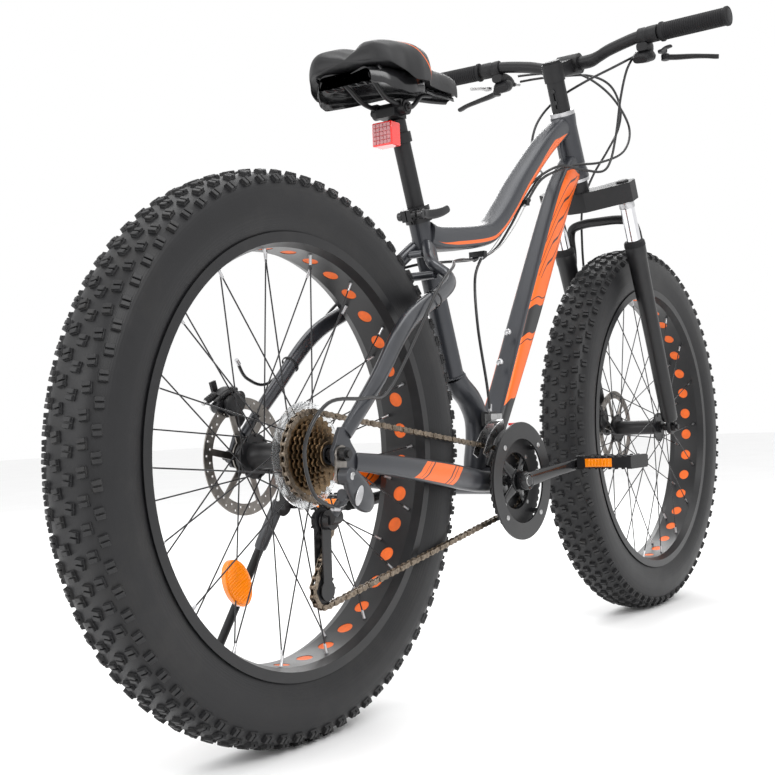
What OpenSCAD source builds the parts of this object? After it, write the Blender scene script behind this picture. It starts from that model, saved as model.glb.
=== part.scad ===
// Fat-tyred mountain bike: aluminium frame, short-travel fork, 36-spoke wheels,
// triple crankset with a seven-speed freewheel, and mechanical disc brakes.
// +X is forwards, +Y is the rider's left, and the ground is z = 0 midway between the axles.

/* [Overall] */
// Distance between the two wheel axles
wheelbase = 1164; // [1130:1:1230]
// Angle of the steering axis from the ground, in degrees
head_angle = 68; // [66:0.5:70]
// Distance from the fork's axle up to the crown race, along the steering axis
fork_length = 545; // [520:1:570]
// Distance of the front axle ahead of the steering axis
fork_offset = 45; // [38:1:52]
// Length of the head tube
head_tube_len = 124; // [110:1:150]
// Angle of the seat tube from the ground, in degrees
seat_angle = 71.2; // [70:0.1:73]
// Length of the seat tube from the bottom bracket to its top
seat_tube_len = 454; // [430:1:520]
// Horizontal distance from the rear axle to the bottom bracket
chainstay_len = 490; // [480:1:500]
// Height of the wheel axles above the bottom bracket
bb_drop = 67; // [55:1:75]
// Overall width of the handlebar
bar_w = 650; // [600:1:760]

/* [Wheels] */
// Outer radius of the tyres
tyre_r = 375; // [365:1:380]
// Width of the tyres
tyre_w = 98; // [90:1:99]
// Width of the rims
rim_w = 80; // [70:1:84]
// Radius of the rims at the bead seat
rim_seat_r = 281; // [279:1:284]
// Number of spokes in each wheel
spoke_n = 36; // [32:4:36]
// Radius of a spoke
spoke_r = 1; // [0.9:0.05:1.2]
// Radius of the weight-saving holes in the rims
rim_hole_r = 11; // [8:0.5:12]
// Radius of the wheel axles
axle_r = 5; // [4.5:0.1:6]
// Space between the front dropouts
front_old = 135; // [130:1:140]
// Space between the rear dropouts
rear_old = 170; // [168:1:176]
// Radius of the brake discs
disc_r = 80; // [76:1:85]

/* [Frame and fork] */
// Outer radius of the seat tube
seat_tube_r = 17; // [16:0.5:18]
// Radius of the seatpost
post_r = 13.6; // [12.5:0.1:14]
// Outer radius of the head tube at its middle
head_tube_r = 24; // [22:0.5:26]
// Radius of the fork's steerer
steerer_r = 14.3; // [12.7:0.1:15]
// Outer radius of the bottom bracket shell
bb_shell_r = 22; // [21:0.5:24]
// Width of the bottom bracket shell
bb_shell_w = 100; // [90:1:104]
// Sideways distance of each fork leg from the middle
leg_y = 77; // [76:1:80]
// Radius of the stanchions
stanchion_r = 14; // [13:0.5:15]
// Travel of the fork
fork_travel = 60; // [40:1:70]

/* [Cockpit] */
// Distance from the steering axis forward to the bar clamp
stem_len = 80; // [60:1:110]
// Height of the bar clamp above the top of the head tube, along the steering axis
stem_rise = 83; // [75:1:110]
// Radius of the handlebar at its clamp
bar_r = 12.7; // [12:0.1:15.9]
// Radius of the handlebar under the grips
bar_end_r = 11.1; // [11:0.1:11.3]
// Length of a grip
grip_len = 133; // [110:1:140]
// Outer radius of a grip
grip_r = 16; // [15:0.5:18]

/* [Drivetrain] */
// Length of a crank arm, from axis to axis
crank_len = 170; // [160:1:175]
// Teeth on the smallest chainring, which carries the chain
ring_small = 24; // [22:1:26]
// Teeth on the middle chainring
ring_middle = 34; // [32:1:36]
// Teeth on the largest chainring
ring_large = 42; // [40:1:44]
// Outer radius of the chain guard
guard_r = 95; // [92:1:98]
// Length of a pedal
pedal_len = 100; // [85:1:110]

/* [Saddle] */
// Height of the saddle's rail clamp above the ground
saddle_clamp_z = 886; // [870:1:940]
// Length of the saddle
saddle_len = 285; // [260:1:290]
// Width of the saddle
saddle_w = 190; // [150:1:200]

/* [Hidden] */
$fn = 64;
// Running clearance of a turning or sliding fit, on the radius
fit = 0.05;
// Clearance between neighbouring pieces that never touch
gap = 0.3;
// Pitch of the chain, which every cog and chainring shares
chain_pitch = 12.7;

// Wheel centres, bottom bracket and steering axis, all in the plane y = 0
rear_x = -wheelbase / 2;
front_x = wheelbase / 2;
axle_z = tyre_r;
bb_x = rear_x + chainstay_len;
bb_z = axle_z - bb_drop;
lean = head_angle - 90;
steer_x = front_x - fork_offset * cos(lean);
steer_z = axle_z + fork_offset * sin(lean);
head_low = fork_length + 7;
head_top = head_low + head_tube_len;
cup_h = 8;
riser_low = head_top + cup_h + gap;
clamp_w = head_top + stem_rise;
leg_u = fork_offset - 7.5;
crown_h = 38;
crown_top = fork_length - 20.5;
crown_low = crown_top - crown_h;
seal_w = crown_low - fork_travel - 31;

function unit(v) = v / norm(v);
// A point given in the steering group's own axes: u forwards, y left, w up the steerer
function steer_pt(u, y, w) =
    [steer_x + u * cos(lean) + w * sin(lean), y, steer_z - u * sin(lean) + w * cos(lean)];
// A point d along the seat tube from the bottom bracket and off ahead of its axis
function seat_pt(d, off = 0, y = 0) =
    [bb_x - d * cos(seat_angle) + off * sin(seat_angle), y,
     bb_z + d * sin(seat_angle) + off * cos(seat_angle)];
// A point a share t of the way from p to q, and off above that line
function along(p, q, t, off) =
    let (d = unit(q - p)) p + (q - p) * t + off * [-d[2], 0, d[0]];
function at(l, i) = l[max(0, min(len(l) - 1, i))];
function spline(a, b, c, d, t) =
    0.5 * (2 * b + (c - a) * t + (2 * a - 5 * b + 4 * c - d) * t * t
    + (3 * b - a - 3 * c + d) * t * t * t);
// A smooth path through the stations of l, with n steps between each two
function smooth(l, n) = concat(
    [for (i = [0:len(l) - 2]) for (k = [0:n - 1])
        spline(at(l, i - 1), l[i], l[i + 1], at(l, i + 2), k / n)],
    [l[len(l) - 1]]);
function place(s) = [s[0], s[1], s[2]];
function heading(l, i) = unit(place(at(l, i + 1)) - place(at(l, i - 1)));
// Side vectors carried along the path without twist
function sides_of(l, v, i = 0) = i == len(l) ? [] :
    let (t = heading(l, i), u = unit(v - (v * t) * t)) concat([u], sides_of(l, u, i + 1));
function power(v, e) = sign(v) * pow(abs(v), e);

// A solid swept along stations [x, y, z, half width, half height]
module sweep(l, n = 12, side = [0, 1, 0], square = 1) {
    v = sides_of(l, side);
    rings = [for (i = [0:len(l) - 1]) let (t = heading(l, i), w = cross(t, v[i]))
        for (k = [0:n - 1]) place(l[i]) + l[i][3] * power(cos((k + 0.5) * 360 / n), square) * v[i]
            + l[i][4] * power(sin((k + 0.5) * 360 / n), square) * w];
    m = len(l);
    walls = [for (i = [0:m - 2]) for (k = [0:n - 1]) let (j = (k + 1) % n)
        for (f = [[i * n + k, (i + 1) * n + k, (i + 1) * n + j], [i * n + k, (i + 1) * n + j, i * n + j]]) f];
    ends = [[for (k = [0:n - 1]) k], [for (k = [n - 1:-1:0]) (m - 1) * n + k]];
    polyhedron(rings, concat(walls, ends));
}

// The same for a round bar of one radius through the points of l
module cable(l, r, steps, n = 8) {
    sweep([for (p = smooth(l, steps)) [p[0], p[1], p[2], r, r]], n, [0.3, 0.5, 0.8]);
}

module rod(p, q, r) {
    d = q - p;
    translate(p) rotate([0, acos(d[2] / norm(d)), atan2(d[1], d[0])]) cylinder(h = norm(d), r = r);
}

// A round bar that bends smoothly through the points of l
module bent_rod(l, r, steps = 3, n = 12) {
    sweep([for (p = smooth(l, steps)) [p[0], p[1], p[2], r, r]], n, [0.3, 0.5, 0.8]);
}

module ring(r_out, r_in, h) {
    difference() {
        cylinder(h = h, r = r_out);
        translate([0, 0, -1]) cylinder(h = h + 2, r = r_in);
    }
}

// Turns a shape that stands on z = 0 so that it points along +Y from y0
module on_y(y0 = 0) { translate([0, y0, 0]) rotate([-90, 0, 0]) children(); }
module at_rear() { translate([rear_x, 0, axle_z]) children(); }
module at_front() { translate([front_x, 0, axle_z]) children(); }
module at_bb() { translate([bb_x, 0, bb_z]) children(); }
module on_steer() { translate([steer_x, 0, steer_z]) rotate([0, lean, 0]) children(); }
module on_seat() { translate([bb_x, 0, bb_z]) rotate([0, seat_angle - 90, 0]) children(); }
module both_sides() {
    children();
    mirror([0, 1, 0]) children();
}

// ---- Frame ----

cup_r = steerer_r + 2.7;

module head_tube() {
    color("dimgray") on_steer() translate([0, 0, head_low]) difference() {
        cylinder(h = head_tube_len, r1 = head_tube_r + 2.5, r2 = head_tube_r - 1);
        translate([0, 0, -1]) cylinder(h = head_tube_len + 2, r = cup_r);
    }
}

module headset_cups() {
    color("silver") on_steer() for (side = [0, 1])
        translate([0, 0, side == 0 ? head_low : head_top]) mirror([0, 0, 1 - side]) difference() {
            union() {
                cylinder(h = side == 0 ? 6 : cup_h, r = head_tube_r + (side == 0 ? 2 : 0));
                translate([0, 0, -14]) cylinder(h = 14, r = cup_r);
            }
            translate([0, 0, -15]) cylinder(h = 30, r = steerer_r + fit);
        }
}

// Volumes that the frame's tubes are cut back to where they meet
module head_tube_room() {
    on_steer() translate([0, 0, head_low - 20]) cylinder(h = head_tube_len + 40, r = head_tube_r + 2.6);
}
module seat_tube_room() { on_seat() cylinder(h = seat_tube_len + 30, r = seat_tube_r + fit); }
module shell_room() { at_bb() on_y(-bb_shell_w) cylinder(h = 2 * bb_shell_w, r = bb_shell_r + fit); }

// The plane between the seat tube's elbow and the down tube
mitre_low = [bb_x + 6, bb_z - 40];
mitre_top = [bb_x + 42, bb_z + 110];
module mitre(side) {
    far = side * 400;
    translate([side * fit, 60, 0]) rotate([90, 0, 0]) linear_extrude(120)
        polygon([mitre_low, mitre_top, mitre_top + [20 - 20 * side, 160],
            mitre_top + [far, 160], mitre_low + [far, 0]]);
}

top_rear = seat_pt(seat_tube_len - 37, 4);
top_front = steer_pt(-6, 0, head_top - 22);
top_path = [[0, 0, 22, 21], [0.06, -21, 22, 20.5], [0.27, -62, 22, 19], [0.36, -66, 22, 18.5],
    [0.47, -53, 22, 18.5], [0.61, -30, 21, 19], [0.83, -4, 19, 19.5], [1, 3, 17, 20]];
function tube_stations(p, q, path) = [for (s = path) let (c = along(p, q, s[0], s[1]))
    [c[0], c[1], c[2], s[2], s[3]]];

module top_tube() {
    color("dimgray") difference() {
        sweep(smooth(tube_stations(top_rear, top_front, top_path), 4), 16, square = 0.7);
        seat_tube_room();
        head_tube_room();
    }
}

down_low = [bb_x + 8, 0, bb_z + 20];
down_top = steer_pt(-4, 0, head_low + 36);
down_path = [[0, 0, 24, 13], [0.18, -4, 23, 15], [0.48, 0, 22, 24], [0.8, 7, 20.5, 27],
    [0.92, 4, 20, 25.5], [1, -6, 18, 24]];

module down_tube() {
    color("dimgray") difference() {
        intersection() {
            sweep(smooth(tube_stations(down_low, down_top, down_path), 4), 16, square = 0.55);
            union() {
                mitre(1);
                translate([bb_x - 60, -60, bb_z + 260]) cube([900, 120, 600]);
            }
        }
        shell_room();
        head_tube_room();
    }
}

elbow_top = 182;
elbow_path = [[elbow_top - fit, 0, 17, 17], [elbow_top - 20, 10, 19, 19], [132, 31, 20, 20], [96, 40, 20, 20],
    [62, 30, 20, 20], [30, 10, 20, 20], [8, 2, 20, 20]];

module seat_tube() {
    color("dimgray") {
        on_seat() difference() {
            translate([0, 0, elbow_top]) cylinder(h = seat_tube_len - elbow_top, r = seat_tube_r);
            translate([0, 0, elbow_top + 6]) cylinder(h = seat_tube_len, r = post_r + fit);
        }
        difference() {
            intersection() {
                sweep(smooth([for (s = elbow_path) let (c = seat_pt(s[0], s[1]))
                    [c[0], c[1], c[2], s[2], s[3]]], 3), 16);
                mitre(-1);
            }
            shell_room();
        }
        at_bb() on_y(-bb_shell_w / 2) ring(bb_shell_r, bb_shell_r - 4.5, bb_shell_w);
    }
}

module bearing_cups() {
    headset_cups();
    bottom_bracket_cups();
}

// Rear triangle: each stay clears the tyre, then reaches its dropout plate
drop_in = rear_old / 2;
drop_t = 6;
stay_y = drop_in + drop_t / 2;
chainstay_path = [[bb_x - 10, 39, bb_z, 9, 15], [bb_x - 60, 50, bb_z + 3, 8.5, 17],
    [bb_x - 123, 64, bb_z + 10, 9, 18], [bb_x - 210, 76, bb_z + 23, 9.5, 18],
    [bb_x - 300, 84, bb_z + 36, 9, 16], [rear_x + 110, stay_y, axle_z - 20, 8, 14],
    [rear_x + 34, stay_y, axle_z - 11, 6.5, 12]];
stay_top = seat_pt(seat_tube_len - 62, -6);
stay_bend = [seat_pt(seat_tube_len - 118)[0] - 50, seat_pt(seat_tube_len - 118)[2]];
seatstay_path = [[stay_top[0] - 6, 12, stay_top[2] + 8, 9, 11],
    [stay_top[0] - 30, 33, stay_top[2] - 22, 9, 11],
    [stay_bend[0], 61, stay_bend[1] - 6, 9, 12],
    [rear_x + 185, 80, axle_z + 178, 9, 13], [rear_x + 90, stay_y, axle_z + 92, 8, 12],
    [rear_x + 18, stay_y, axle_z + 26, 6, 10]];

module dropout_plate(grow = 0) {
    translate([rear_x, drop_in + drop_t + grow, axle_z]) rotate([90, 0, 0])
        linear_extrude(drop_t + 2 * grow) union() {
            circle(15 + grow);
            polygon([[-13, -7], [34 + grow, -22 - grow], [36 + grow, 2 + grow], [26 + grow, 14 + grow],
                [14, 34 + grow], [-2 - grow, 26 + grow]]);
        }
}

module chainstays() {
    color("dimgray") {
        both_sides() difference() {
            union() {
                difference() {
                    sweep(smooth(chainstay_path, 3), 12, square = 0.8);
                    shell_room();
                }
                dropout_plate();
            }
            translate([rear_x, 0, axle_z]) on_y() cylinder(h = 2 * rear_old, r = axle_r);
            translate([bb_x - 90, -11, bb_z - 60]) cube([200, 22, 120]);
        }
        translate([bb_x - 84, 0, bb_z + 5]) on_y(-47) cylinder(h = 94, r = 7);
    }
}

module seatstays() {
    bridge = seat_pt(seat_tube_len - 92, -47);
    color("gray") difference() {
        union() {
            both_sides() sweep(smooth(seatstay_path, 3), 12);
            translate(bridge) on_y(-38) cylinder(h = 76, r = 7);
        }
        both_sides() dropout_plate(fit);
        seat_tube_room();
    }
}

module bottom_bracket_cups() {
    color("dimgray") at_bb() both_sides() on_y(bb_shell_w / 2) difference() {
        union() {
            cylinder(h = 3, r = bb_shell_r - 1);
            translate([0, 0, -26]) cylinder(h = 26, r = bb_shell_r - 4.5);
        }
        translate([0, 0, -27]) cylinder(h = 40, r = 8.5 + fit);
    }
}

skewer_x = -seat_tube_r - 10;
cam_y = -25;
module seat_clamp() {
    color("black") on_seat() translate([0, 0, seat_tube_len - 16]) difference() {
        union() {
            cylinder(h = 25, r = seat_tube_r + 4);
            translate([skewer_x - 6, -9, 7]) cube([20, 18, 18]);
        }
        translate([0, 0, -1]) cylinder(h = 17, r = seat_tube_r + fit);
        cylinder(h = 30, r = post_r + fit);
        translate([skewer_x - 20, -1, -1]) cube([30, 2, 30]);
    }
    color("dimgray") on_seat() translate([skewer_x, 0, seat_tube_len]) {
        on_y(cam_y) cylinder(h = 18 - cam_y, r = 2.5);
        on_y(cam_y + 8.4) cylinder(h = -cam_y - 17.4, r = 6.5);
        on_y(9) cylinder(h = 8, r = 6.5);
        translate([0, cam_y, -3]) cylinder(h = 6, r = 5);
        translate([0, cam_y, -8]) cylinder(h = 16, r = 2.5);
    }
}

// Cam lever with two cheeks round the skewer's eye
module seat_clamp_lever() {
    color("black") on_seat() translate([skewer_x, cam_y, seat_tube_len]) difference() {
        union() {
            translate([0, 0, -8]) cylinder(h = 16, r = 8);
            translate([5, -6, -8]) cube([10, 11, 16]);
            sweep(smooth([[12, -2, 0, 5.5, 7.5], [26, -7, 2, 4.5, 7], [40, -11, 6, 3.5, 7],
                [54, -13, 12, 2.5, 6]], 3), 12, [0, 1, 0], 0.8);
        }
        translate([0, 0, -3.3]) cylinder(h = 6.6, r = 8.6);
        translate([0, 0, -20]) cylinder(h = 40, r = 2.5 + fit);
    }
}

module derailleur_hanger() {
    color("silver") translate([rear_x, -drop_in - drop_t, axle_z]) rotate([90, 0, 0])
        linear_extrude(4) difference() {
            union() {
                circle(12);
                polygon([[-11, 0], [11, 0], [7, -30], [-13, -30]]);
                translate([-3, -28]) circle(10.5);
            }
            circle(axle_r + fit);
            translate([-3, -28]) circle(5);
        }
}

module rear_axle() {
    out = drop_in + drop_t;
    color("dimgray") at_rear() {
        on_y(-out - 17) cylinder(h = 2 * out + 34, r = axle_r - fit);
        on_y(-out - 13) ring(9, axle_r - fit, 9);
        on_y(out) ring(9, axle_r - fit, 9);
        on_y(-drop_in) ring(8, axle_r - fit, drop_in - 75);
        on_y(74) ring(8, axle_r - fit, drop_in - 74);
    }
}

// ---- Wheels ----

// Points of half the tyre's section as [half width, radius], shrunk by inset
function tyre_half(inset) = let (t = tyre_w / 2 - inset, r = tyre_r - inset * (inset > 0 ? 1.6 : 1))
    [[rim_w / 2 - 2.6 - inset, rim_seat_r + 0.1 + inset * 0.4],
     [rim_w / 2 - 2.6 - inset, rim_seat_r + 12],
     [t - 5, rim_seat_r + 23], [t - 0.8, rim_seat_r + 36], [t, r - 47],
     [t - 0.8, r - 34], [t - 4, r - 21], [t - 12, r - 8], [tyre_w / 2 - 25 - inset * 0.3, r]];
function mirrored(l) = concat(l, [for (i = [len(l) - 1:-1:0]) [-l[i][0], l[i][1]]]);

module wheel_profile(points) { rotate([90, 0, 0]) rotate_extrude($fn = 96) polygon([for (p = points) [p[1], p[0]]]); }

module tyre() {
    casing = 4.5;
    outer = mirrored(tyre_half(0));
    inner = [for (p = mirrored(tyre_half(casing))) [p[0], p[1] < rim_seat_r + 4 ? rim_seat_r - 3 : p[1]]];
    color("#202020") difference() {
        wheel_profile(outer);
        wheel_profile(inner);
    }
}
module inner_tube() {
    skin = mirrored(tyre_half(5.5));
    hollow = mirrored(tyre_half(7));
    lift = 1.5;
    color("#303030") difference() {
        wheel_profile(skin);
        wheel_profile([for (p = hollow) [p[0], p[1] < rim_seat_r + 20 ? p[1] + lift : p[1]]]);
    }
}

bed_r = rim_seat_r - 8.5;
module rim() {
    h = rim_w / 2;
    half = [[h, bed_r + 5], [h, rim_seat_r + 10], [h - 2.5, rim_seat_r + 10], [h - 2.5, rim_seat_r],
        [h - 10, rim_seat_r], [h - 14, bed_r + 2.4], [0, bed_r + 2.4]];
    right = concat(half, [for (i = [len(half) - 2:-1:0]) [-half[i][0], half[i][1]]]);
    loop = concat(right, [[-h + 13, bed_r], [h - 13, bed_r]]);
    color("#181818") difference() {
        wheel_profile(loop);
        for (i = [0:spoke_n - 1]) rotate([0, (i + 0.5) * 360 / spoke_n, 0])
            translate([0, 0, bed_r - 8]) cylinder(h = 30, r = rim_hole_r, $fn = 32);
    }
}
module rim_strip() {
    color("orangered") rotate([90, 0, 0]) translate([0, 0, -rim_w / 2 + 15])
        rotate_extrude($fn = 96) translate([bed_r + 2.5, 0]) square([1, rim_w - 30]);
}

// Spokes cross three others between the flange and the rim
module spokes(y_left, y_right, flange_r) {
    rim_y = 19;
    per_side = spoke_n / 2;
    swing = 6 * 360 / spoke_n;
    color("#282828") for (side = [1, -1]) for (k = [0:per_side - 1]) {
        way = k % 2 == 0 ? 1 : -1;
        a = (2 * k + (side > 0 ? 0 : 1)) * 360 / spoke_n;
        b = a + way * swing + way * 2;
        y = side * ((side > 0 ? y_left : y_right) + (way == side ? 4 : -2.7));
        rod([flange_r * sin(b), y, flange_r * cos(b)],
            [(bed_r - 0.3) * sin(a), side * rim_y, (bed_r - 0.3) * cos(a)], spoke_r);
    }
}

module flange(y, r) {
    on_y(y - 1.2) cylinder(h = 2.4, r = r);
}

// Disc with a drilled braking band on six slanting arms
module disc(y) {
    band = disc_r - 12;
    color("silver") on_y(y - 0.9) linear_extrude(1.8) difference() {
        circle(disc_r);
        difference() {
            circle(disc_r - 16);
            circle(24);
            for (i = [0:5]) rotate(i * 60) polygon([[19, -5], [band, 5], [band, 14], [19, 5]]);
        }
        circle(15);
        for (i = [0:23]) rotate(i * 15 + 3) for (k = [0, 1])
            rotate(k * 7.5) translate([disc_r - 5 - 6 * k, 0]) circle(1.8);
    }
}

front_flange_y = 46;
front_disc_y = 52.5;
module front_hub() {
    color("#202020") at_front() difference() {
        union() {
            on_y(-front_flange_y) cylinder(h = 2 * front_flange_y, r = 15);
            flange(front_flange_y, 30);
            flange(-front_flange_y, 30);
            on_y(-front_flange_y - 8) cylinder(h = 10, r = 12);
            on_y(front_flange_y + 1.2) cylinder(h = front_disc_y - front_flange_y - 2.1, r = 22);
            on_y(front_disc_y - 2) cylinder(h = 6, r = 14.9);
        }
        on_y(-100) cylinder(h = 200, r = axle_r);
    }
}
module front_axle() {
    in = front_old / 2;
    color("dimgray") at_front() {
        on_y(-in - 22) cylinder(h = 2 * in + 44, r = axle_r - fit);
        both_sides() on_y(in + 9) ring(9, axle_r - fit, 8);
        both_sides() on_y(front_disc_y + 4.3) ring(8, axle_r - fit, in - front_disc_y - 4.3 - fit);
    }
}
module front_rim() { at_front() { rim(); rim_strip(); } }
module front_tyre() { at_front() { tyre(); inner_tube(); } }
module front_spokes() { at_front() spokes(front_flange_y, front_flange_y, 26); }
module front_disc() { at_front() disc(front_disc_y); }

rear_flange_left = 52;
rear_flange_right = 30;
rear_disc_y = 70.5;
module rear_hub() {
    color("#202020") at_rear() difference() {
        union() {
            on_y(-rear_flange_right) cylinder(h = rear_flange_right + rear_flange_left, r = 17);
            flange(rear_flange_left, 31);
            flange(-rear_flange_right, 31);
            on_y(rear_flange_left) cylinder(h = rear_disc_y - rear_flange_left - 0.9, r = 22);
            on_y(rear_disc_y - 1) cylinder(h = 4, r = 14.9);
            on_y(-74) cylinder(h = 45, r = 13);
            on_y(-rear_flange_right - 7.2) ring(70, 12.5, 1.2);
        }
        on_y(-100) cylinder(h = 200, r = axle_r);
    }
}
module rear_rim() { at_rear() { rim(); rim_strip(); } }
module rear_tyre() { at_rear() { tyre(); inner_tube(); } }
module rear_spokes() { at_rear() spokes(rear_flange_left, rear_flange_right, 27); }
module rear_disc() { at_rear() disc(rear_disc_y); }

// ---- Drivetrain ----

function pitch_r(teeth) = chain_pitch / (2 * sin(180 / teeth));
// Tooth tips stop below the chain's pins
module sprocket(teeth, y, t, r_in) {
    tip = pitch_r(teeth) - 2.4;
    root = tip - 3.2;
    on_y(y - t / 2) linear_extrude(t) difference() {
        polygon([for (i = [0:teeth - 1]) for (k = [[-0.42, root], [-0.2, tip], [0.2, tip], [0.42, root]])
            let (a = (i + k[0]) * 360 / teeth) [k[1] * cos(a), k[1] * sin(a)]]);
        circle(r_in);
    }
}

cogs = [28, 24, 22, 20, 18, 16, 14];
cog_y = -45.5;
cog_step = 4.4;
ring_y = -59;
ring_step = 7;

module freewheel() {
    color("#5a4632") at_rear() {
        for (i = [0:len(cogs) - 1]) sprocket(cogs[i], cog_y - cog_step * i, 2, 17);
        on_y(-74) ring(17, 13 + fit, 34);
    }
}

module spider_arm() {
    polygon([[12, -13], [30, -8], [52, -6], [57, 0], [52, 6], [30, 8], [12, 13]]);
}
crank_tilt = 7;
module crank_arm(turn) {
    rotate([0, turn, 0]) difference() {
        union() {
            on_y(-100) cylinder(h = 18, r = 15);
            sweep(smooth([[11, -92, 0, 7, 12], [60, -96, 0, 6.5, 11], [crank_len * 0.75, -106, 0, 6.5, 10],
                [crank_len - 8, -110, 0, 6.5, 9]], 3), 12, square = 0.7);
            translate([crank_len, 0, 0]) on_y(-117) cylinder(h = 14, r = 12);
        }
        translate([crank_len, 0, 0]) on_y(-130) cylinder(h = 40, r = 6);
    }
}
module crank_arms() {
    color("#202020") at_bb() {
        crank_arm(-crank_tilt);
        on_y(-83) cylinder(h = 16, r = 14.5);
        on_y(ring_y - 2 * ring_step + 1.1) linear_extrude(4.8) for (i = [0:3])
            rotate(i * 90 + 45) spider_arm();
        mirror([0, 1, 0]) crank_arm(180 - crank_tilt);
    }
    color("dimgray") at_bb() on_y(-98) cylinder(h = 196, r = 8.5);
}

module chainrings() {
    color("#303030") at_bb() {
        sprocket(ring_small, ring_y, 2, 27);
        sprocket(ring_middle, ring_y - ring_step, 2, 46);
        sprocket(ring_large, ring_y - 2 * ring_step, 2, 46);
        for (i = [0:3]) rotate([0, i * 90 + 45, 0]) {
            translate([32, 0, 0]) on_y(ring_y - ring_step - 1.1) cylinder(h = ring_step + 0.1, r = 4);
        }
    }
}
guard_y = -87.5;
module chain_guard() {
    color("#383838") at_bb() {
        on_y(guard_y) ring(guard_r, guard_r - 27, 3);
        for (i = [0:3]) rotate([0, i * 90 + 45, 0]) translate([guard_r - 22, 0, 0])
            on_y(guard_y + 3) cylinder(h = ring_y - 2 * ring_step - 1 - guard_y - 3, r = 3.5);
    }
}

// Pedal body with its two side plates, turned on its own axle
module pedal() {
    color("#202020") {
        difference() {
            union() {
                on_y(-117 - pedal_len) cylinder(h = pedal_len - 2, r = 11);
                translate([-33, -117 - pedal_len, -11]) cube([66, 8, 22]);
                translate([-33, -127, -11]) cube([66, 8, 22]);
                for (x = [-36, 27]) translate([x, -117 - pedal_len, -9]) cube([9, pedal_len - 2, 18]);
            }
            on_y(-116 - pedal_len + 4) cylinder(h = pedal_len + 10, r = 6 + fit);
        }
        on_y(-116 - pedal_len + 6) cylinder(h = pedal_len + 9, r = 6 - fit);
    }
}
function pedal_at(side) = [bb_x + side * crank_len * cos(crank_tilt), 0, bb_z + side * crank_len * sin(crank_tilt)];
module pedal_right() { translate(pedal_at(1)) pedal(); }
module pedal_left() { translate(pedal_at(-1)) mirror([0, 1, 0]) pedal(); }

// Rear derailleur
hang = [rear_x - 3, -drop_in - drop_t, axle_z - 28];
jockey_teeth = 11;
jockey_r = pitch_r(jockey_teeth);
upper_jockey = [rear_x + 16, axle_z - 87];
lower_jockey = [rear_x + 14, axle_z - 178];
link_top = [rear_x + 6, -94, axle_z - 52];
link_low = [rear_x + 16, -64, axle_z - 82];

module rear_derailleur_body() {
    color("#303030") {
        translate([hang[0], 0, hang[2]]) {
            on_y(hang[1] - 3.9) cylinder(h = 7.7, r = 5 - fit);
            on_y(hang[1] - 22) cylinder(h = 17.5, r = 11);
        }
        difference() {
            translate([link_top[0] - 9, -108, link_top[2] - 2]) cube([18, 11, 26]);
            translate([link_top[0] - 20, link_top[1], link_top[2]]) rotate([0, 90, 0]) cylinder(h = 60, r = 8.5);
        }
    }
}
module rear_derailleur_link() {
    color("#404040") difference() {
        union() {
            translate([link_top[0] - 9, link_top[1], link_top[2]]) rotate([0, 90, 0]) cylinder(h = 18, r = 8);
            rod([link_top[0], link_top[1], link_top[2]], [link_low[0] - 4, link_low[1], link_low[2]], 7);
        }
        translate([link_low[0] - 60, link_low[1], link_low[2]]) rotate([0, 90, 0]) cylinder(h = 120, r = 10.5);
    }
}
module rear_derailleur_knuckle() {
    color("#404040") difference() {
        union() {
            translate([link_low[0] - 9, link_low[1], link_low[2]]) rotate([0, 90, 0]) cylinder(h = 18, r = 10);
            translate([upper_jockey[0], 0, upper_jockey[1]]) on_y(cage_out - 12) cylinder(h = 10.6, r = 12);
        }
        translate([upper_jockey[0], 0, upper_jockey[1]]) on_y(cage_out - 12) cylinder(h = 30, r = 4);
    }
}
cage_in = cog_y + 6.5;
cage_out = cog_y - 6.5;
module derailleur_cage() {
    d = upper_jockey - lower_jockey;
    color("#282828") for (y = [cage_in - 1, cage_out - 1]) translate([lower_jockey[0], 0, lower_jockey[1]])
        on_y(y) {
            cylinder(h = 2, r = 14);
            translate([d[0], -d[1], 0]) cylinder(h = 2, r = 14);
            linear_extrude(2) polygon([[-9, 0], [9, 0], [d[0] + 9, -d[1]], [d[0] - 9, -d[1]]]);
        }
    color("silver") for (p = [upper_jockey, lower_jockey]) translate([p[0], 0, p[1]])
        on_y(cage_out + 1) cylinder(h = cage_in - cage_out - 2, r = 3);
    color("silver") translate([upper_jockey[0], 0, upper_jockey[1]]) on_y(cage_out - 11) cylinder(h = 10.5, r = 4 - fit);
}
module jockey(p) {
    color("#181818") translate([p[0], 0, p[1]]) sprocket(jockey_teeth, cog_y, 3.4, 3 + fit);
}
module upper_jockey_wheel() { jockey(upper_jockey); }
module lower_jockey_wheel() { jockey(lower_jockey); }

// Chain loop in the plane y = 0, as tangent runs and arcs round the four sprockets
chain_stops = [[[bb_x, bb_z], pitch_r(ring_small), 1], [[rear_x, axle_z], pitch_r(cogs[0]), 1],
    [upper_jockey, jockey_r, -1], [lower_jockey, jockey_r, 1]];
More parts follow.
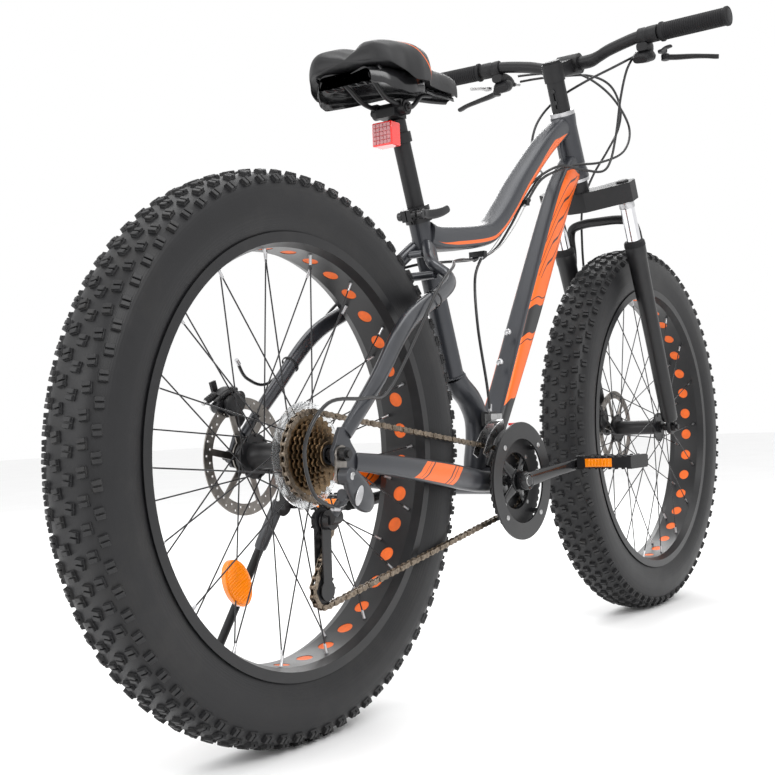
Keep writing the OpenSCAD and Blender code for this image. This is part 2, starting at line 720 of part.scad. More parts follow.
// Angle round stop a at which the straight run to stop b leaves it
function turn_at(a, b) = let (d = b[0] - a[0], reach = a[2] == b[2] ? a[1] - b[1] : a[1] + b[1])
    atan2(d[1], d[0]) - a[2] * 90 + a[2] * asin(reach / norm(d));
function leave(i) = turn_at(chain_stops[i], chain_stops[(i + 1) % 4]);
function arrive(i) = let (a = chain_stops[(i + 3) % 4], b = chain_stops[i])
    a[2] == b[2] ? turn_at(a, b) : turn_at(a, b) + 180;
function arc_span(i) = let (s = chain_stops[i][2] * (leave(i) - arrive(i))) s - 360 * floor(s / 360);
function chain_y(x) = cog_y + (ring_y - cog_y) * max(0, min(1, (x - rear_x - 40) / (bb_x - rear_x - 80)));
arc_steps = [10, 12, 10, 12];
chain_loop = [for (i = [0:3]) for (k = [0:arc_steps[i]])
    let (s = chain_stops[i], a = arrive(i) + s[2] * arc_span(i) * k / arc_steps[i])
    [s[0][0] + s[1] * cos(a), 0, s[0][1] + s[1] * sin(a)]];
chain_path = [for (i = [0:len(chain_loop) - 1]) let (p = chain_loop[i], q = chain_loop[(i + 1) % len(chain_loop)])
    for (t = norm(q - p) > 100 ? [0, 0.06, 0.2, 0.35, 0.5, 0.65, 0.8, 0.94] : [0])
        let (m = p + (q - p) * t) [m[0], chain_y(m[0]), m[2]]];

// Two side plates joined at the pins, as one closed band
plate_h = 3.9;
chain_section = [[-3.4, -plate_h], [-1.9, -plate_h], [-1.9, -1.5], [1.9, -1.5], [1.9, -plate_h], [3.4, -plate_h],
    [3.4, plate_h], [1.9, plate_h], [1.9, 1.5], [-1.9, 1.5], [-1.9, plate_h], [-3.4, plate_h]];
module chain() {
    m = len(chain_path);
    n = len(chain_section);
    rings = [for (i = [0:m - 1])
        let (t = unit(chain_path[(i + 1) % m] - chain_path[(i + m - 1) % m]), up = unit([-t[2], 0, t[0]]))
        for (s = chain_section) chain_path[i] + s[0] * [0, 1, 0] + s[1] * up];
    color("#8a7f70") polyhedron(rings, [for (i = [0:m - 1]) for (k = [0:n - 1])
        let (j = (k + 1) % n, q = (i + 1) % m)
        for (f = [[i * n + k, i * n + j, q * n + j], [i * n + k, q * n + j, q * n + k]]) f]);
}

// Front derailleur
fd_z = bb_z + 96;
module front_derailleur_body() {
    color("silver") {
        translate([bb_x - 20, -38, fd_z - 6]) cube([28, 12, 24]);
        translate([bb_x - 10, -26, fd_z + 2]) cube([22, 6.1, 12]);
    }
}
module front_derailleur_cage() {
    in = pitch_r(ring_large) + 3.6;
    out = in + 15;
    color("silver") at_bb() {
        for (y = [-69.6, -51]) on_y(y) linear_extrude(1.6)
            polygon(concat([for (a = [104:12:152]) in * [cos(a), -sin(a)]],
                [for (a = [152:-12:104]) out * [cos(a), -sin(a)]]));
        rotate([0, -106, 0]) translate([out - 4, -68, -5]) cube([4, 17, 10]);
        translate([-30, -50, fd_z - bb_z - 2]) cube([36, 11.6, 16]);
    }
}

// ---- Brakes ----

// Caliper body straddling the disc, in the disc's own axes with +z outwards
module caliper(out_h, in_h) {
    difference() {
        union() {
            translate([-23, disc_r - 24, -in_h]) cube([46, 42, in_h + out_h]);
            translate([0, disc_r - 6, out_h - 1]) cylinder(h = 5, r = 13);
        }
        translate([-40, disc_r - 60, -1.6]) cube([80, 63, 3.2]);
        translate([0, disc_r - 6, 4]) cylinder(h = 40, r = 4 + fit);
    }
}
module brake_arm(out_h) {
    translate([0, disc_r - 6, 5]) cylinder(h = out_h + 6, r = 4 - fit);
    translate([0, disc_r - 6, out_h + 4.3]) {
        cylinder(h = 5, r = 8);
        translate([-5, -2, 0]) cube([10, 36, 4]);
    }
}
rear_caliper_turn = -18;
module at_rear_caliper() { at_rear() on_y(rear_disc_y) rotate(180 + rear_caliper_turn) children(); }
module rear_caliper() {
    color("#282828") {
        at_rear_caliper() caliper(17, 12);
        translate([rear_x - 6, rear_disc_y + 3, axle_z + 60]) cube([76, 6.4, 20]);
    }
}
module rear_brake_arm() { color("#303030") at_rear_caliper() brake_arm(17); }

front_caliper_turn = -52;
module at_front_caliper() {
    on_steer() translate([fork_offset, front_disc_y, 0]) rotate([-90, 0, 0]) rotate(180 + front_caliper_turn) children();
}
module front_caliper() {
    color("#282828") {
        at_front_caliper() caliper(15, 5.5);
        on_steer() translate([leg_u - 34, front_disc_y + 3, 48]) cube([19, 14, 26]);
    }
}
module front_brake_arm() { color("#303030") at_front_caliper() brake_arm(15); }

// ---- Fork ----

module crown_outline() {
    polygon([[-22, -18], [-22, 18], [leg_u - 22, leg_y + 8], [leg_u - 14, leg_y + 21], [leg_u + 14, leg_y + 21],
        [leg_u + 20, leg_y + 14], [leg_u + 14, leg_y - 22], [26, 26], [26, -26], [leg_u + 14, -leg_y + 22],
        [leg_u + 20, -leg_y - 14], [leg_u + 14, -leg_y - 21], [leg_u - 14, -leg_y - 21], [leg_u - 22, -leg_y - 8]]);
}
module fork_crown() {
    color("#202020") on_steer() {
        difference() {
            union() {
                translate([0, 0, crown_low]) linear_extrude(crown_h) crown_outline();
                translate([0, 0, crown_low]) cylinder(h = fork_length - crown_low, r = 21);
                translate([0, 0, crown_low + 1]) cylinder(h = clamp_w + 16 - crown_low - 1, r = steerer_r);
            }
            for (y = [-leg_y, leg_y]) translate([leg_u, y, crown_low - 1]) cylinder(h = 33, r = stanchion_r);
        }
    }
}
module stanchions() {
    low = crown_low - fork_travel - 256;
    color("gainsboro") on_steer() for (y = [-leg_y, leg_y]) translate([leg_u, y, low]) difference() {
        cylinder(h = crown_low + 32 - low, r = stanchion_r);
        translate([0, 0, -1]) cylinder(h = crown_low + 28 - low, r = stanchion_r - 2);
    }
}
rod_top = seal_w - 60;
module fork_springs() {
    turns = 12;
    wire = 1.4;
    low = rod_top + wire + 0.2;
    height = crown_low + 26 - wire - low;
    color("silver") on_steer() for (y = [-leg_y, leg_y])
        sweep([for (i = [0:turns * 9]) let (a = i * 40, r = stanchion_r - 2 - wire - 1.2)
            [leg_u + r * cos(a), y + r * sin(a), low + height * i / (turns * 9), wire, wire]], 6, [0, 0, 1]);
}

arch_u = fork_offset + 25;
arch_w = crown_low - fork_travel + 17;
arch_half = [[leg_u + 4, leg_y, seal_w - 50], [arch_u - 4, leg_y - 2, seal_w - 24],
    [arch_u, leg_y - 5, arch_w - 24], [arch_u, leg_y - 14, arch_w - 6], [arch_u, leg_y - 40, arch_w - 1]];
module fork_lowers() {
    color("#202020") on_steer() difference() {
        union() {
            for (side = [-1, 1]) {
                translate([leg_u, side * leg_y, 18]) cylinder(h = seal_w - 18, r1 = 16.5, r2 = 18);
                translate([leg_u, side * leg_y, seal_w - 11]) cylinder(h = 11, r = 20.5);
                translate([fork_offset, side * (front_old / 2 + 4.5), 0]) {
                    translate([0, 4.5, 0]) rotate([90, 0, 0]) cylinder(h = 9, r = 13);
                    translate([-15, -4.5, 0]) cube([27, 9, 44]);
                }
            }
            bent_rod(concat([for (i = [0:4]) arch_half[i]], [[arch_u, 0, arch_w]],
                [for (i = [4:-1:0]) [arch_half[i][0], -arch_half[i][1], arch_half[i][2]]]), 8, 2);
        }
        for (side = [-1, 1]) {
            translate([leg_u, side * leg_y, 95]) cylinder(h = 600, r = stanchion_r + fit);
            translate([fork_offset, side * 60, 0]) rotate([90, 0, 0]) translate([0, 0, -40])
                cylinder(h = 80, r = axle_r);
        }
    }
    color("silver") on_steer() for (side = [-1, 1]) translate([leg_u, side * leg_y, 95]) {
        cylinder(h = rod_top - 95 - 6, r = 4);
        translate([0, 0, rod_top - 95 - 6]) cylinder(h = 6, r = stanchion_r - 2.4);
    }
}

// ---- Cockpit ----

module stem() {
    color("#202020") on_steer() {
        difference() {
            translate([0, 0, riser_low]) cylinder(h = clamp_w - 17 - riser_low - 0.2, r = steerer_r + 3.2);
            translate([0, 0, riser_low - 1]) cylinder(h = 100, r = steerer_r);
            translate([-40, -1.5, riser_low + 8]) cube([36, 3, 30]);
        }
        difference() {
            union() {
                translate([0, 0, clamp_w - 17]) cylinder(h = 34, r = steerer_r + 5.7);
                translate([8, -14, clamp_w - 13]) cube([stem_len - 20, 28, 26]);
                translate([stem_len, 0, clamp_w]) on_y(-22) cylinder(h = 44, r = bar_r + 7);
            }
            translate([0, 0, clamp_w - 30]) cylinder(h = 60, r = steerer_r);
            translate([stem_len, 0, clamp_w]) on_y(-40) cylinder(h = 80, r = bar_r + fit);
            translate([stem_len + 2, -50, clamp_w - 40]) cube([1.2, 100, 80]);
        }
        translate([0, 0, clamp_w + 17.2]) cylinder(h = 4, r = steerer_r + 3);
    }
}

bar_c = steer_pt(stem_len, 0, clamp_w);
// Points along one half of the bar: bend, then the straight end that carries the controls and the grip
bar_bend = [-8, bar_w / 2 - grip_len - 50, 22];
bar_tip = [-21, bar_w / 2, 20];
function bar_end_at(y) = bar_bend + (bar_tip - bar_bend) * (y - bar_bend[1]) / (bar_tip[1] - bar_bend[1]);
function to_side(p, side) = [p[0], side * p[1], p[2]];
bar_half = [[0, 43, 0], [-5, 88, 12], bar_bend, bar_end_at(bar_bend[1] + 8), bar_end_at(bar_w / 2 - grip_len), bar_tip];
module handlebar() {
    color("#282828") translate(bar_c) {
        rod([0, -44, 0], [0, 44, 0], bar_r);
        for (side = [-1, 1]) {
            sweep(smooth([for (i = [0:5]) concat(to_side(bar_half[i], side),
                i < 2 ? [bar_r, bar_r] : [bar_end_r, bar_end_r])], 4), 16, [1, 0, 0]);
        }
    }
}
module grips() {
    color("#181818") translate(bar_c) for (side = [-1, 1]) {
        inner = to_side(bar_half[4], side);
        tip = to_side(bar_tip, side);
        d = unit(tip - inner);
        difference() {
            union() {
                rod(inner + 2 * d, tip + 3 * d, grip_r);
                rod(inner + 2 * d, inner + 6 * d, grip_r + 2);
                rod(tip - d, tip + 3 * d, grip_r + 2);
            }
            rod(inner - 10 * d, tip + fit * d, bar_end_r + fit);
        }
    }
}

// Brake and shift unit beside each grip, with the two levers' pivots under it
unit_y = bar_w / 2 - grip_len;
brake_pivot = [32, unit_y - 9];
shift_pivot = [4, unit_y - 3];
module control_unit() {
    d = unit(bar_tip - bar_bend);
    difference() {
        union() {
            rod(bar_bend + 22 * d, bar_bend + 38 * d, bar_end_r + 4);
            translate([-2, unit_y - 36, 0]) cube([40, 24, 18]);
            translate([-10, unit_y - 40, -8]) cube([44, 38, 18]);
        }
        rod(bar_bend - 30 * d, bar_tip, bar_end_r + fit);
        for (p = [brake_pivot, shift_pivot]) translate([p[0], p[1], -40]) cylinder(h = 80, r = 3);
    }
}
module control_units() {
    color("#242424") translate(bar_c) both_sides() control_unit();
}

module brake_lever(side) {
    color("#2c2c2c") translate(bar_c + [brake_pivot[0], side * brake_pivot[1], -8]) {
        cylinder(h = 26, r = 3 - fit);
        translate([0, 0, -12]) cylinder(h = 11.7, r = 8);
        bent_rod([[0, 0, -6], [8, side * 20, -8], [10, side * 50, -12], [6, side * 76, -18], [12, side * 98, -22]], 5);
    }
}
module brake_lever_left() { brake_lever(1); }
module brake_lever_right() { brake_lever(-1); }
module shift_lever(side) {
    color("silver") translate(bar_c + [shift_pivot[0], side * shift_pivot[1], -8]) {
        cylinder(h = 14, r = 3 - fit);
        translate([0, 0, -5]) cylinder(h = 4.7, r = 9);
        bent_rod([[0, 0, -2.5], [-14, side * 10, -2.5], [-22, side * 20, -3]], 2.4);
    }
}
module shift_lever_left() { shift_lever(1); }
module shift_lever_right() { shift_lever(-1); }

// ---- Cables, along their own routes ----

cable_r = 2.4;
front_brake_route = [[360, 128, 1090], [378, 95, 1094], [396, 50, 1094], [420, 0, 1090], [450, -30, 1070],
    [480, -36, 1030], [492, -24, 990], [496, 4, 950], [484, 34, 900], [468, 52, 840], [464, 54.8, 760], [470, 54.8, 680],
    [486, 54.8, 580], [492, 57, 510], [484, 66, 452]];
front_shift_route = [[356, 130, 1101], [378, 100, 1104], [396, 60, 1102], [412, 10, 1090], [440, -36, 1045],
    [450, -66, 980], [410, -70, 925], [340, -52, 895], [268, -34, 882], [215, -22, 866], [165, -10, 842],
    [105, -10, 792], [60, -10, 748], [0, -10, 704], [-60, -10, 682], [-110, -24, 640], [-128, -36, 560],
    [-118, -42, 470], [-112, -43, 424]];
rear_brake_route = [[348, -128, 1088], [322, -96, 1068], [306, -40, 1046], [300, 20, 1020], [280, 50, 980],
    [258, 54, 930], [236, 34, 886], [205, 8, 862], [160, 0, 836], [105, 0, 790], [58, 0, 745], [0, 0, 700], [-70, 2, 678],
    [-150, 16, 668], [-206, 34, 660], [-258, 66, 640], [-330, 90, 600], [-400, 98, 540], [-480, 106, 478],
    [-530, 106, 482], [-560, 97, 505]];
rear_shift_route = [[350, -130, 1094], [330, -118, 1060], [340, -98, 1010], [346, -84, 950], [336, -74, 895],
    [316, -64, 872], [275, -44, 872], [210, -24, 872], [160, 10, 836], [105, 10, 788], [58, 10, 743], [0, 10, 698],
    [-70, 0, 676], [-150, -26, 668], [-206, -44, 658], [-262, -76, 642], [-330, -90, 602], [-480, -106, 462],
    [-560, -122, 446], [-650, -128, 440], [-690, -122, 390], [-664, -112, 330], [-610, -106, 308]];

module control_cables() {
    color("#101010") {
        cable(front_brake_route, cable_r, 1);
        cable(front_shift_route, cable_r, 1);
        cable(rear_brake_route, cable_r, 1);
        cable(rear_shift_route, cable_r, 1);
    }
}

// ---- Kickstand ----

stand_pivot = [rear_x + 107, 106, axle_z - 75];
stand_foot = [rear_x + 52, 235, 9];
stand_way = unit(stand_foot - stand_pivot);
stand_folded = unit([-0.99, 0.1, 0.05]);
stand_axis = unit(cross(stand_way, stand_folded));

module kickstand_bracket() {
    color("#202020") {
        rod(stand_pivot - 16 * stand_axis, stand_pivot - 5.2 * stand_axis, 11);
        rod(stand_pivot - 8 * stand_axis, stand_pivot + 8 * stand_axis, 4 - fit);
        difference() {
            translate([stand_pivot[0] - 14, stay_y - 7, stand_pivot[2] - 6]) cube([30, 10, axle_z - 29.8 - stand_pivot[2]]);
            rod(stand_pivot - 30 * stand_axis, stand_pivot + 20 * stand_axis, 10.9);
        }
    }
}
module kickstand_leg() {
    sleeve_end = stand_pivot + 70 * stand_way;
    color("dimgray") difference() {
        union() {
            rod(stand_pivot - 4.9 * stand_axis, stand_pivot + 5 * stand_axis, 12);
            rod(stand_pivot + 8 * stand_way, sleeve_end, 9.5);
        }
        rod(stand_pivot - 20 * stand_axis, stand_pivot + 20 * stand_axis, 4);
        rod(stand_pivot - 4.9 * stand_axis, stand_pivot - 24 * stand_axis, 40);
    }
    color("#181818") {
        rod(sleeve_end, stand_foot - 8 * stand_way, 6.5);
        translate(stand_foot) sphere(9);
    }
}

// ---- Seatpost and saddle ----

clamp_d = (saddle_clamp_z - bb_z) / sin(seat_angle);
post_top = seat_pt(clamp_d - 12);
saddle_x = seat_pt(clamp_d)[0] - 10;
rail_y = 22;
rail_r = 3.5;
saddle_rear = saddle_x - 104;
split_z = saddle_clamp_z + 36;
nose_rise = 18;

module seatpost() {
    color("#181818") {
        on_seat() difference() {
            translate([0, 0, seat_tube_len - 120]) cylinder(h = clamp_d - 12 - seat_tube_len + 120, r = post_r);
            translate([0, 0, seat_tube_len - 121]) cylinder(h = clamp_d - 18 - seat_tube_len + 120, r = post_r - 2.2);
        }
        difference() {
            union() {
                translate([saddle_x, 0, saddle_clamp_z]) on_y(-30) cylinder(h = 60, r = 11);
                translate([saddle_x - 16, -17, saddle_clamp_z - 13]) cube([32, 34, 13]);
            }
            for (y = [-rail_y, rail_y]) translate([saddle_x - 60, y, saddle_clamp_z + 4]) rotate([0, 90, 0])
                cylinder(h = 120, r = rail_r + fit);
            on_seat() cylinder(h = clamp_d - 12 + fit, r = post_r + 3);
        }
    }
}

// Saddle's stations as [share of its length, share of its half width, height above the split]
saddle_shape = [[0, 0.62, 30], [0.02, 0.78, 37], [0.08, 0.94, 44], [0.18, 1, 47], [0.3, 0.93, 44], [0.42, 0.66, 38],
    [0.55, 0.42, 34], [0.7, 0.32, 33], [0.85, 0.27, 33], [0.95, 0.2, 30], [1, 0.1, 20]];
function saddle_stations(grow) = [for (s = saddle_shape)
    [saddle_rear + s[0] * saddle_len, 0, split_z + s[0] * nose_rise, s[1] * saddle_w / 2 - grow, s[2] - grow]];
// Everything between two heights above the split that joins cover and shell
module saddle_band(low, high, low_nose) {
    past = 50;
    r = nose_rise * past / saddle_len;
    translate([saddle_rear, saddle_w, split_z]) rotate([90, 0, 0]) linear_extrude(2 * saddle_w)
        polygon([[-past, low - r], [saddle_len + past, nose_rise + low_nose + r],
            [saddle_len + past, nose_rise + high + r], [-past, high - r]]);
}

module saddle_cover() {
    color("#202020") intersection() {
        sweep(smooth(saddle_stations(0), 2), 20, square = 0.85);
        saddle_band(0, 100, 0);
    }
}
module saddle_base() {
    color("#101010") {
        difference() {
            intersection() {
                sweep(smooth(saddle_stations(4), 2), 20, square = 0.85);
                saddle_band(-34, -fit, -9);
            }
            intersection() {
                sweep(smooth(saddle_stations(9), 2), 20, square = 0.85);
                saddle_band(-60, -5, -60);
            }
        }
        for (side = [-1, 1]) bent_rod([[saddle_rear + 16, side * 32, split_z - 4.2],
            [saddle_rear + 32, side * 27, split_z - 17], [saddle_x - 36, side * rail_y, saddle_clamp_z + 4],
            [saddle_x - 20, side * rail_y, saddle_clamp_z + 4], [saddle_x + 20, side * rail_y, saddle_clamp_z + 4],
            [saddle_x + 40, side * rail_y, saddle_clamp_z + 4],
            [saddle_rear + saddle_len - 66, side * 13, split_z + nose_rise * 0.77 - 5]], rail_r);
    }
}

module rear_reflector() {
    d = (saddle_clamp_z - 38 - bb_z) / sin(seat_angle);
    p = seat_pt(d);
    color("red") difference() {
        union() {
            translate([p[0] - 52, -18, p[2] - 21]) cube([30, 36, 37]);
            on_seat() translate([0, 0, d - 7]) cylinder(h = 14, r = post_r + 3);
            translate([p[0] - 26, -7, p[2] - 6]) cube([12, 14, 12]);
        }
        on_seat() cylinder(h = clamp_d, r = post_r);
    }
}

head_tube();
top_tube();
down_tube();
seat_tube();
chainstays();
seatstays();
bearing_cups();
seat_clamp();
derailleur_hanger();
rear_axle();
rear_caliper();
kickstand_bracket();
front_derailleur_body();
rear_derailleur_body();
control_cables();
chain();
fork_crown();
stanchions();
fork_springs();
stem();
handlebar();
grips();
control_units();
brake_lever_left();
brake_lever_right();
shift_lever_left();
shift_lever_right();
fork_lowers();
front_axle();
front_caliper();
front_brake_arm();
front_hub();
front_rim();
front_tyre();
front_spokes();
front_disc();
rear_hub();
rear_rim();
rear_tyre();
rear_spokes();
rear_disc();
freewheel();
crank_arms();
chainrings();
chain_guard();
pedal_left();
pedal_right();
rear_derailleur_link();
rear_derailleur_knuckle();
derailleur_cage();
upper_jockey_wheel();
lower_jockey_wheel();
front_derailleur_cage();
kickstand_leg();
rear_brake_arm();
seatpost();
saddle_base();
saddle_cover();
rear_reflector();
seat_clamp_lever();
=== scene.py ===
# Looks of the fat-tyred mountain bike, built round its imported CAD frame.
# Lengths below are in millimetres in the row frame and become metres in Geo.build.
import math
import bmesh
import bpy
import numpy as np
from mathutils import Matrix, Vector


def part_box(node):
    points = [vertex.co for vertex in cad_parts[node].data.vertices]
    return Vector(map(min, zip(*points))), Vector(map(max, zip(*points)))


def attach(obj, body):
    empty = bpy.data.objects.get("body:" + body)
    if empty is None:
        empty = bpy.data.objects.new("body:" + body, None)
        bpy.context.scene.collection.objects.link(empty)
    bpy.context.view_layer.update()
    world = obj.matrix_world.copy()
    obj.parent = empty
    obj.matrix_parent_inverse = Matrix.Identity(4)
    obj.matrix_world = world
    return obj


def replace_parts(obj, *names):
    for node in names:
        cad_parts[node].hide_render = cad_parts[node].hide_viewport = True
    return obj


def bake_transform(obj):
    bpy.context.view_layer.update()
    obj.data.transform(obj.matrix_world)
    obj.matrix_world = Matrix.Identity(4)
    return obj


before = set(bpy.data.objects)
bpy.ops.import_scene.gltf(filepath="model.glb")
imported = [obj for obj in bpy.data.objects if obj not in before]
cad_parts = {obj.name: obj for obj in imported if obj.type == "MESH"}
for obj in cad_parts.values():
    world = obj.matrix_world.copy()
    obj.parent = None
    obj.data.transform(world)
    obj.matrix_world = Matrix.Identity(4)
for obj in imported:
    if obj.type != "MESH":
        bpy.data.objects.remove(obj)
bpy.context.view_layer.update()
MM = 0.001
UP_Y = np.array([0.0, 1.0, 0.0])


def rad(a):
    return math.radians(a)


# ---------------------------------------------------------------- places
LEAN = rad(-22)
STEER = (582 - 45 * math.cos(LEAN), 375 + 45 * math.sin(LEAN))
BB = np.array([-92.0, 0, 308.0])
REAR = np.array([-582.0, 0, 375.0])
FRONT = np.array([582.0, 0, 375.0])
SEAT = rad(71.2)


def steer(u, y, w):
    c, s = math.cos(LEAN), math.sin(LEAN)
    return np.array([STEER[0] + u * c + w * s, y, STEER[1] - u * s + w * c])


def seat(d, off=0.0, y=0.0):
    c, s = math.cos(SEAT), math.sin(SEAT)
    return np.array([BB[0] - d * c + off * s, y, BB[2] + d * s + off * c])


BAR = steer(80, 0, 759)


# ---------------------------------------------------------------- mesh code
def unit(v):
    v = np.asarray(v, float)
    return v / np.linalg.norm(v)


def smooth(rows, n):
    """Points on a smooth curve through the rows, n to each stretch."""
    rows = np.array(rows, float)
    out = []
    for i in range(len(rows) - 1):
        a, b, c, d = rows[max(i - 1, 0)], rows[i], rows[i + 1], rows[min(i + 2, len(rows) - 1)]
        for k in range(n):
            t = k / n
            square, cube = (2 * a - 5 * b + 4 * c - d) * t * t, (3 * b - a - 3 * c + d) * t ** 3
            out.append(0.5 * (2 * b + (c - a) * t + square + cube))
    return np.array(out + [rows[-1]])


def power(v, e):
    return math.copysign(abs(v) ** e, v)


def axes(x, y, z, origin):
    """Matrix with these three directions as its axes, and its origin here."""
    return Matrix([[x[i], y[i], z[i], origin[i]] for i in range(3)] + [[0, 0, 0, 1]])


def box_mm(node):
    """Lowest and highest corners of a CAD node, in millimetres."""
    return [[c / MM for c in corner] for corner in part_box(node)]


class Geo:
    """Collects faces of one piece, then makes the object."""

    def __init__(self):
        self.v, self.f, self.m, self.uv = [], [], [], []

    def add(self, verts, faces, slot=0, uvs=None, at=None):
        o = len(self.v)
        for p in verts:
            self.v.append(tuple(at @ Vector(p)) if at is not None else tuple(p))
        for i, face in enumerate(faces):
            self.f.append(tuple(k + o for k in face))
            self.m.append(slot)
            self.uv.append(uvs[i] if uvs else [(0, 0)] * len(face))
        return self

    def tube(self, rows, n=16, side=UP_Y, square=1.0, slot=0, caps=True):
        """Sweep along rows of [x, y, z, half width, half height]; u is the length along, v the turn round."""
        rows = np.array(rows, float)
        m = len(rows)
        side = np.array(side, float)
        verts, along = [], 0.0
        us = []
        for i in range(m):
            t = unit(rows[min(i + 1, m - 1), :3] - rows[max(i - 1, 0), :3])
            side = unit(side - t * side.dot(t))
            w = np.cross(t, side)
            if i:
                along += np.linalg.norm(rows[i, :3] - rows[i - 1, :3])
            us.append(along)
            for k in range(n):
                a = (k + 0.5) * 2 * math.pi / n
                verts.append(rows[i, :3] + rows[i, 3] * power(math.cos(a), square) * side + rows[i,
                    4] * power(math.sin(a), square) * w)
        faces, uvs = [], []
        for i in range(m - 1):
            for k in range(n):
                j = (k + 1) % n
                faces.append((i * n + k, i * n + j, (i + 1) * n + j, (i + 1) * n + k))
                a, b = (k + 0.5) / n, (k + 1.5) / n
                u0, u1 = us[i] / along, us[i + 1] / along
                uvs.append([(u0, a), (u0, b), (u1, b), (u1, a)])
        if caps:
            faces += [tuple(range(n - 1, -1, -1)), tuple((m - 1) * n + k for k in range(n))]
            uvs += [[(0, 0)] * n, [(1, 0)] * n]
        return self.add(verts, faces, slot, uvs)

    def pipe(self, pts, r, n=12, steps=4, slot=0, caps=True):
        pts = smooth(pts, steps) if steps > 1 else np.array(pts, float)
        return self.tube([[*p, r, r] for p in pts], n, (0.3, 0.5, 0.8), 1.0, slot, caps)

    def rod(self, p, q, r, r2=None, n=20, slot=0):
        p, q = np.array(p, float), np.array(q, float)
        r2 = r if r2 is None else r2
        side = (0.31, 0.52, 0.79) if abs(unit(q - p).dot(unit([0.31, 0.52, 0.79]))) < 0.95 else (1, 0, 0)
        return self.tube([[*p, r, r], [*q, r2, r2]], n, side, 1.0, slot)

    def lathe(self, profile, centre, axis=UP_Y, n=96, slot=0, closed=True):
        """Turns points [along axis, radius] round the axis through centre."""
        axis = unit(axis)
        e1 = unit(np.cross(axis, [0.0, 0.0, 1.0]) if abs(axis[2]) < 0.9 else np.cross(axis,
            [1.0, 0.0, 0.0]))
        e2 = np.cross(axis, e1)
        m = len(profile)
        verts = []
        for k in range(n):
            a = 2 * math.pi * k / n
            d = e1 * math.cos(a) + e2 * math.sin(a)
            verts += [np.array(centre) + axis * p[0] + d * p[1] for p in profile]
        faces = []
        for k in range(n):
            j = (k + 1) % n
            for i in range(m if closed else m - 1):
                q = (i + 1) % m
                faces.append((k * m + i, k * m + q, j * m + q, j * m + i))
        return self.add(verts, faces, slot)

    def block(self, lo, hi, slot=0, at=None, taper=1.0):
        (a, b, c), (d, e, f) = lo, hi
        mx, my = (a + d) / 2, (b + e) / 2
        top = [(mx + (x - mx) * taper, my + (y - my) * taper, f) for x,
            y in ((a, b), (d, b), (d, e), (a, e))]
        verts = [(a, b, c), (d, b, c), (d, e, c), (a, e, c)] + top
        faces = [(3, 2, 1, 0), (4, 5, 6, 7), (0, 1, 5, 4), (1, 2, 6, 5), (2, 3, 7, 6), (3, 0, 4, 7)]
        return self.add(verts, faces, slot, at=at)

    def prism(self, outline, lo, hi, slot=0, at=None):
        n = len(outline)
        verts = [(*p, lo) for p in outline] + [(*p, hi) for p in outline]
        faces = [tuple(range(n - 1, -1, -1)), tuple(range(n, 2 * n))]
        faces += [(k, (k + 1) % n, n + (k + 1) % n, n + k) for k in range(n)]
        return self.add(verts, faces, slot, at=at)

    def build(self, name, mats, body, replaces=(), slot=None, angle=38, bevel=0.0, segments=2, subdiv=0):
        mesh = bpy.data.meshes.new(name)
        mesh.from_pydata([(x * MM, y * MM, z * MM) for x, y, z in self.v], [], self.f)
        layer = mesh.uv_layers.new(name="surface")
        layer.data.foreach_set("uv", [c for face in self.uv for uv in face for c in uv])
        mesh.polygons.foreach_set("material_index", self.m)
        for m in mats if isinstance(mats, (list, tuple)) else [mats]:
            mesh.materials.append(m)
        mesh.validate()
        mesh.shade_smooth()
        mesh.set_sharp_from_angle(angle=rad(angle))
        obj = bpy.data.objects.new(name, mesh)
        bpy.context.scene.collection.objects.link(obj)
        bm = bmesh.new()
        bm.from_mesh(mesh)
        bmesh.ops.recalc_face_normals(bm, faces=bm.faces)
        bm.to_mesh(mesh)
        bm.free()
        if subdiv:
            mod = obj.modifiers.new("subdivide", "SUBSURF")
            mod.levels = mod.render_levels = subdiv
        if bevel:
            mod = obj.modifiers.new("bevel", "BEVEL")
            mod.width = bevel * MM
            mod.segments = segments
            mod.limit_method = "ANGLE"
            mod.angle_limit = rad(angle)
            mod.harden_normals = False
        if body:
            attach(obj, body)
        if replaces:
            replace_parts(obj, *([replaces] if isinstance(replaces, str) else replaces))
        return obj


def turned(axis_from, origin, spin=0.0):
    """Matrix that puts local +Z along axis_from at origin, in millimetres."""
    q = Vector(axis_from).normalized().to_track_quat("Z", "Y")
    return Matrix.Translation(Vector(origin)) @ q.to_matrix().to_4x4() @ Matrix.Rotation(spin, 4, "Z")


